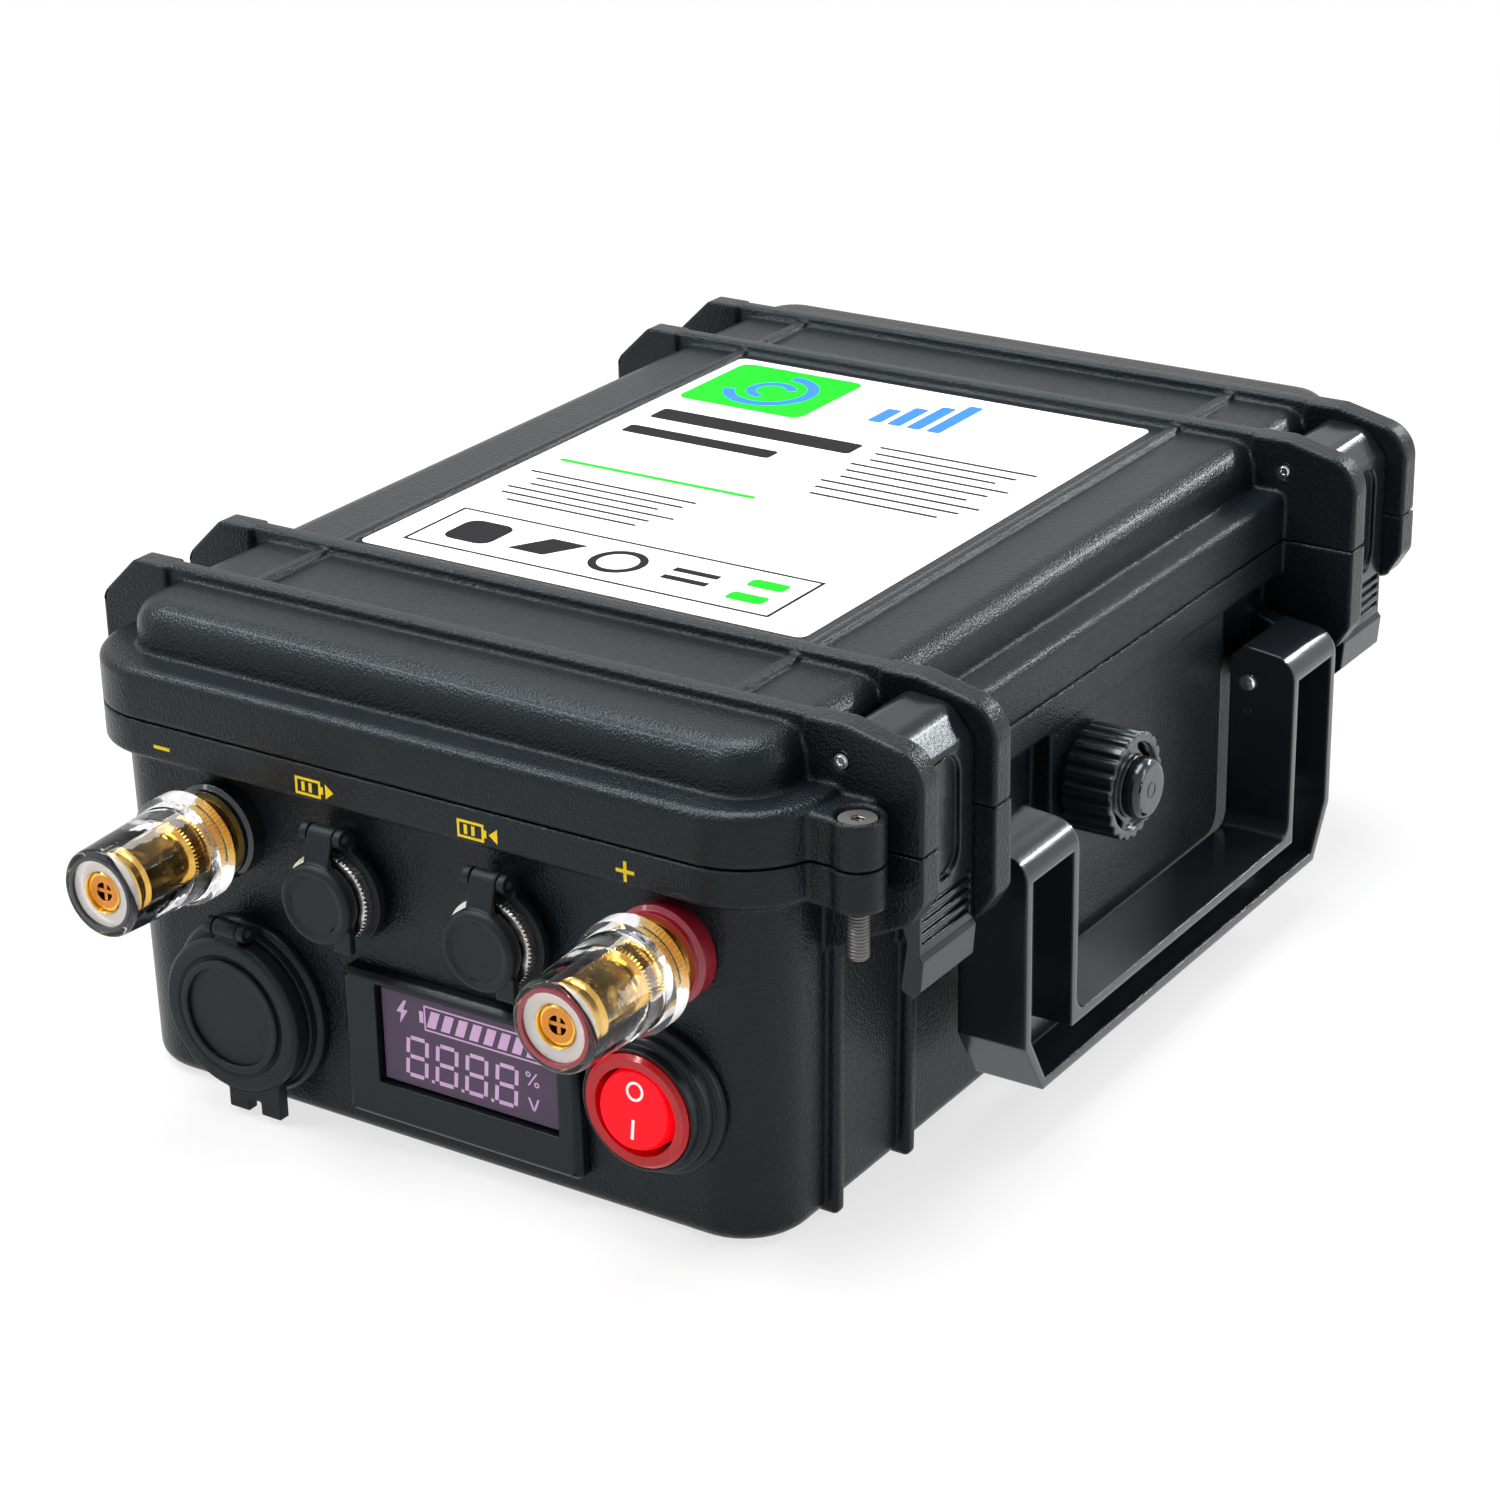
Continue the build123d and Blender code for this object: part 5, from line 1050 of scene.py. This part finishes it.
@dataclass
class Meter:
    """Level meter: bezel, dark lens and the segments lit on it."""

    middle: Pair = (12.0, 25.9)
    lens_face: float = -131.9
    thick: float = 0.03
    sunk: float = -0.01
    ease: float = 0.3
    figures: tuple[float, ...] = (-13.2, -5.8, 1.6, 9.0)
    points: tuple[float, ...] = (-9.5, -2.1, 5.3)
    bolt: Profile = (
        (-15.9, 8.6), (-17.9, 5.7), (-16.7, 5.7), (-17.1, 3.2), (-15.0, 6.5), (-16.2, 6.5),
        (-15.2, 8.6),
    )

    def build(self) -> None:
        """Dress the meter and lay its segments."""
        soften(Tag("meter_bezel", Look.DEVICE, "base", "device_black"), self.ease)
        dress(Look.LENS, "meter_window")
        dress(Look.HIDDEN, "meter_housing")
        x, up = self.middle
        tag = Tag("meter_segments", Look.SEGMENT, "base", "meter_glass")
        rings = self.gauge() + self.digits() + self.signs()
        plates(tag, rings, Place((x, self.lens_face, up)), self.thick, self.sunk)

    def gauge(self) -> Rings:
        """Cell outline with a stub at its left and slanted bars in it."""
        up = 6.0
        bars = [bar(-8.6 + 3.5 * k, up, 2.2, 3.8, 0.35) for k in range(8)]
        return frame_bars(3.6, up, 29.0, 5.6, 0.35) + [bar(-11.6, up, 1.0, 2.6)] + bars

    def digits(self) -> Rings:
        """Four figures of seven slanted bars, with points between."""
        rings = [ring for x in self.figures for ring in figure(x, -3.6, 5.6, 9.4, 0.90, 0.08)]
        return rings + [bar(x, -8.0, 0.7, 0.7) for x in self.points]

    def signs(self) -> Rings:
        """A bolt at the left, and unit marks at the right."""
        percent = [bar(15.4, -0.6, 0.4, 3.0, 0.7)]
        percent += hoop(14.4, 0.4, 0.62, 0.3, 12) + hoop(16.4, -1.6, 0.62, 0.3, 12)
        volts = [bar(14.9, -6.2, 0.5, 2.8, -0.4), bar(16.1, -6.2, 0.5, 2.8, 0.4)]
        return [np.array(self.bolt)] + percent + volts


def figure(x: float, y: float, wide: float, high: float, line: float, lean: float) -> Rings:
    """Seven bars of one display figure, all of them lit.

    Args:
        x, y: its centre.
        wide: its width.
        high: its height.
        line: the width of a bar.
        lean: how far it leans right, as a share of its height.

    Returns:
        Three flat bars and four upright ones.
    """
    side, top = (wide - line) / 2, (high - line) / 2
    rings = [bar(x + up * lean, y + up, wide - 2.4 * line, line) for up in (top, 0, -top)]
    for across in (-side, side):
        for up in (-high / 4, high / 4):
            middle = (x + up * lean + across, y + up)
            rings.append(bar(*middle, line, high / 2 - 1.5 * line, lean))
    return rings


@dataclass
class Switch:
    """Round rocker switch: a red button in a tinted cover and a black bezel."""

    x: float = 56.0
    up: float = 29.0
    lean: float = 8.0
    centre_out: float = 4.6
    front: float = 3.8
    ease: float = 0.3
    thick: float = 0.04
    sunk: float = -0.02

    def build(self) -> None:
        """Dress the switch, and print a ring and a bar on the leaning rocker."""
        soften(Tag("switch_bezel", Look.DEVICE, "base", "device_black"), self.ease)
        dress(Look.RED_COVER, "switch_cover")
        dress(Look.RED_BUTTON, "rocker_button")
        dress(Look.HIDDEN, "switch_body")
        dress(Look.NICKEL, "switch_tabs")
        turn = math.radians(self.lean)
        sine, cosine = math.sin(turn), math.cos(turn)
        out = self.centre_out + self.front * cosine
        origin = (self.x, PANEL - out, self.up + self.front * sine)
        tag = Tag("switch_marks", Look.WHITE_INK, "rocker", "switch_ink")
        rings = hoop(0, 3.9, 2.0, 1.45, 32) + [bar(0, -3.9, 0.7, 4.0)]
        plates(tag, rings, Place(origin, up=(0.0, sine, cosine)), self.thick, self.sunk)


@dataclass
class Valve:
    """Relief valve with a scalloped knob and a small cap in its middle."""

    y: float = -16.0
    up: float = 60.0
    cap_face: float = 102.3
    dimple: Profile = ((1.3, -0.1), (1.9, -0.1), (1.8, 0.12), (1.4, 0.12))

    def build(self) -> None:
        """Dress the valve, and set a low ring round its cap's middle."""
        dress(Look.DEVICE, "valve_body", "valve_nut")
        knob = Tag("valve_knob", Look.HANDLE, "valve_knob_body", "device_black")
        soften(knob, 0.25, merge=0.2)
        soften(Tag("valve_cap", Look.HANDLE, "base", "device_black"), 0.4)
        tag = Tag("valve_cap_dimple", Look.HANDLE, "base", "device_black")
        turned(tag, self.dimple, Place((self.cap_face, self.y, self.up), (0, 1, 0)), 40)


@dataclass
class Levers:
    """Front and rear latches, and the folding carry handle."""

    ease: float = 0.25
    arm_face: float = 49.5
    pivot: Pair = (92.4, 58.5)
    dimple_drop: float = 6.5
    pin_end: Profile = ((0, -0.3), (1.5, -0.3), (1.5, 0.15), (1.2, 0.35), (0, 0.42))
    dimple: Profile = ((0.55, -0.1), (1.0, -0.1), (0.95, 0.1), (0.6, 0.1))

    def build(self) -> None:
        """Dress the levers, and add the pin ends and dimples on the handle's arms."""
        for end in ("front", "rear"):
            soften(Tag(f"latch_{end}", Look.LATCH, f"{end}_latch", "latch_black"), self.ease)
        dress(Look.HANDLE, "carry_handle")
        x, z = self.pivot
        for number, side in enumerate((-1, 1), 1):
            face = side * self.arm_face
            pin = Tag(f"handle_pin_end_{number}", Look.CHROME, "base", "pin_steel")
            turned(pin, self.pin_end, Place((x, face, z), (side, 0, 0)), 40)
            tag = Tag(f"handle_dimple_{number}", Look.HANDLE, "handle", "handle_black")
            place = Place((x, face, z - self.dimple_drop), (side, 0, 0))
            turned(tag, self.dimple, place, 40)


# studio
@dataclass(frozen=True)
class Lamp:
    """Soft area lamp that faces a point."""

    name: str
    at: Triple
    power: float
    size: Pair
    target: Triple = (0.0, 0.0, 0.05)


@dataclass
class Studio:
    """Pale floor and backdrop, soft lamps, and the camera."""

    camera_at: Triple = (0.415905, -0.638735, 0.369835)
    right: Triple = (0.8379995, 0.5453374, -0.0190760)
    down: Triple = (0.2016358, -0.3419421, -0.9178299)
    forward: Triple = (-0.5070502, 0.7652946, -0.3965153)
    lens: float = 88.435
    sensor: float = 36.0
    nearest: float = 0.01
    lamps: tuple[Lamp, ...] = (
        Lamp("overhead", (-0.15, 0.05, 1.15), 20.0, (0.8, 0.8)),
        Lamp("front_roll", (-0.55, -0.44, 0.85), 6.0, (0.70, 0.05)),
        Lamp("side_roll", (0.45, 0.85, 0.58), 6.0, (0.60, 0.05)),
        Lamp("left_strip", (-0.85, -0.75, 0.5), 1.0, (0.05, 0.8)),
        Lamp("right_strip", (1.1, 0.4, 0.35), 4.0, (0.2, 0.8)),
    )
    backdrop: float = 1.0
    dome: float = 0.70
    horizon: tuple[float, ...] = (0.16, 0.30, 0.48, 0.64)
    ambient: float = 0.22
    floor_half: float = 4.0
    floor_drop: float = 0.0004
    lift: float = 0.72
    clear: Pair = (0.10, 0.60)

    def build(self) -> None:
        """Make the world, floor, lamps and camera."""
        self.world()
        self.floor()
        for lamp in self.lamps:
            self.light(lamp)
        self.camera()

    def world(self) -> None:
        """White round the horizon and grey overhead where it is seen, and dim light.

        Seen rays get a ramp over the height of their direction, from backdrop
        to dome between its last two heights.  Other light gets the ambient.
        """
        world = bpy.data.worlds.new("studio")
        bpy.context.scene.world = world
        graph = Graph(world)
        levels = (self.backdrop,) * 3 + (self.dome,)
        stops = [(height, (level,) * 3) for height, level in zip(self.horizon, levels)]
        height = graph.axis("Z", graph.place.outputs["Generated"])
        sky = graph.add("ShaderNodeValToRGB", {"stops": stops}, {0: height})
        sockets = {"Value": graph.seen(), "To Min": self.ambient, "To Max": sky.outputs[0]}
        level = graph.add("ShaderNodeMapRange", None, sockets).outputs["Result"]
        sockets = {"Color": (1.0, 1.0, 1.0), "Strength": level}
        graph.close(graph.add("ShaderNodeBackground", None, sockets))

    def floor(self) -> None:
        """Wide pale floor that keeps the part's shadow and is white far off.

        Where it is seen, the share of plain white is the lift near the part,
        and rises to 1 as x squared plus y squared passes the clear limits.
        """
        half, z = self.floor_half, -self.floor_drop
        corners = [(-half, -half, z), (half, -half, z), (half, half, z), (-half, half, z)]
        mesh = bpy.data.meshes.new("floor")
        mesh.from_pydata(corners, [], [(0, 1, 2, 3)])
        graph = Graph("floor_white")
        base = graph.blend(graph.noise(180.0), (0.90, 0.90, 0.90), (0.93, 0.93, 0.93))
        paint = graph.principled(Base_Color=base, Roughness=0.9, Specular_IOR_Level=0.1)
        white = graph.add("ShaderNodeEmission", None, {"Strength": self.backdrop})
        x, y = graph.axis("X"), graph.axis("Y")
        far = graph.ramp(x * x + y * y, *self.clear)
        share = graph.seen() * (far * (1.0 - self.lift) + self.lift)
        sockets = {0: share, 1: paint.outputs[0], 2: white.outputs[0]}
        mesh.materials.append(graph.close(graph.add("ShaderNodeMixShader", None, sockets)))
        stand("floor", mesh)

    def light(self, lamp: Lamp) -> None:
        """Add one lamp, turned to its target."""
        data = bpy.data.lights.new(lamp.name, "AREA")
        data.shape = "RECTANGLE"
        data.size, data.size_y = lamp.size
        data.energy = lamp.power
        aim = np.subtract(lamp.target, lamp.at)
        aim = aim / np.linalg.norm(aim)
        side = np.cross(aim, (0.0, 0.0, 1.0))
        side = side / np.linalg.norm(side)
        source = stand(lamp.name, data)
        source.matrix_world = axes_matrix(side, np.cross(side, aim), -aim, lamp.at)

    def camera(self) -> None:
        """Add the camera, and show colours as they are written."""
        data = bpy.data.cameras.new("camera")
        data.lens = self.lens
        data.sensor_width = self.sensor
        data.clip_start = self.nearest
        eye = stand("camera", data)
        right, down, forward = map(np.array, (self.right, self.down, self.forward))
        eye.matrix_world = axes_matrix(right, -down, -forward, self.camera_at)
        bpy.context.scene.camera = eye
        bpy.context.scene.view_settings.view_transform = "Standard"


def axes_matrix(x: np.ndarray, y: np.ndarray, z: np.ndarray, at: Triple) -> Matrix:
    """Matrix with three axes as its columns, and then a place in metres."""
    rows = np.eye(4)
    rows[:3] = np.column_stack([x, y, z, at])
    return Matrix(rows.tolist())


def main() -> None:
    """Load the frame, and build and report each sub-assembly in order."""
    logging.basicConfig(level=logging.INFO, format="%(name)s: %(message)s")
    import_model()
    negative = Post("negative", -49.0, Look.COLLAR_BLACK)
    positive = Post("positive", 60.0, Look.COLLAR_RED)
    parts = (Case(), LidLabel(), PanelMarks(), negative, positive)
    parts += (Sockets(), Meter(), Switch(), Valve(), Levers(), Studio())
    for part in parts:
        LOG.info("%s", type(part).__name__)
        part.build()


if __name__ == "__main__":
    main()
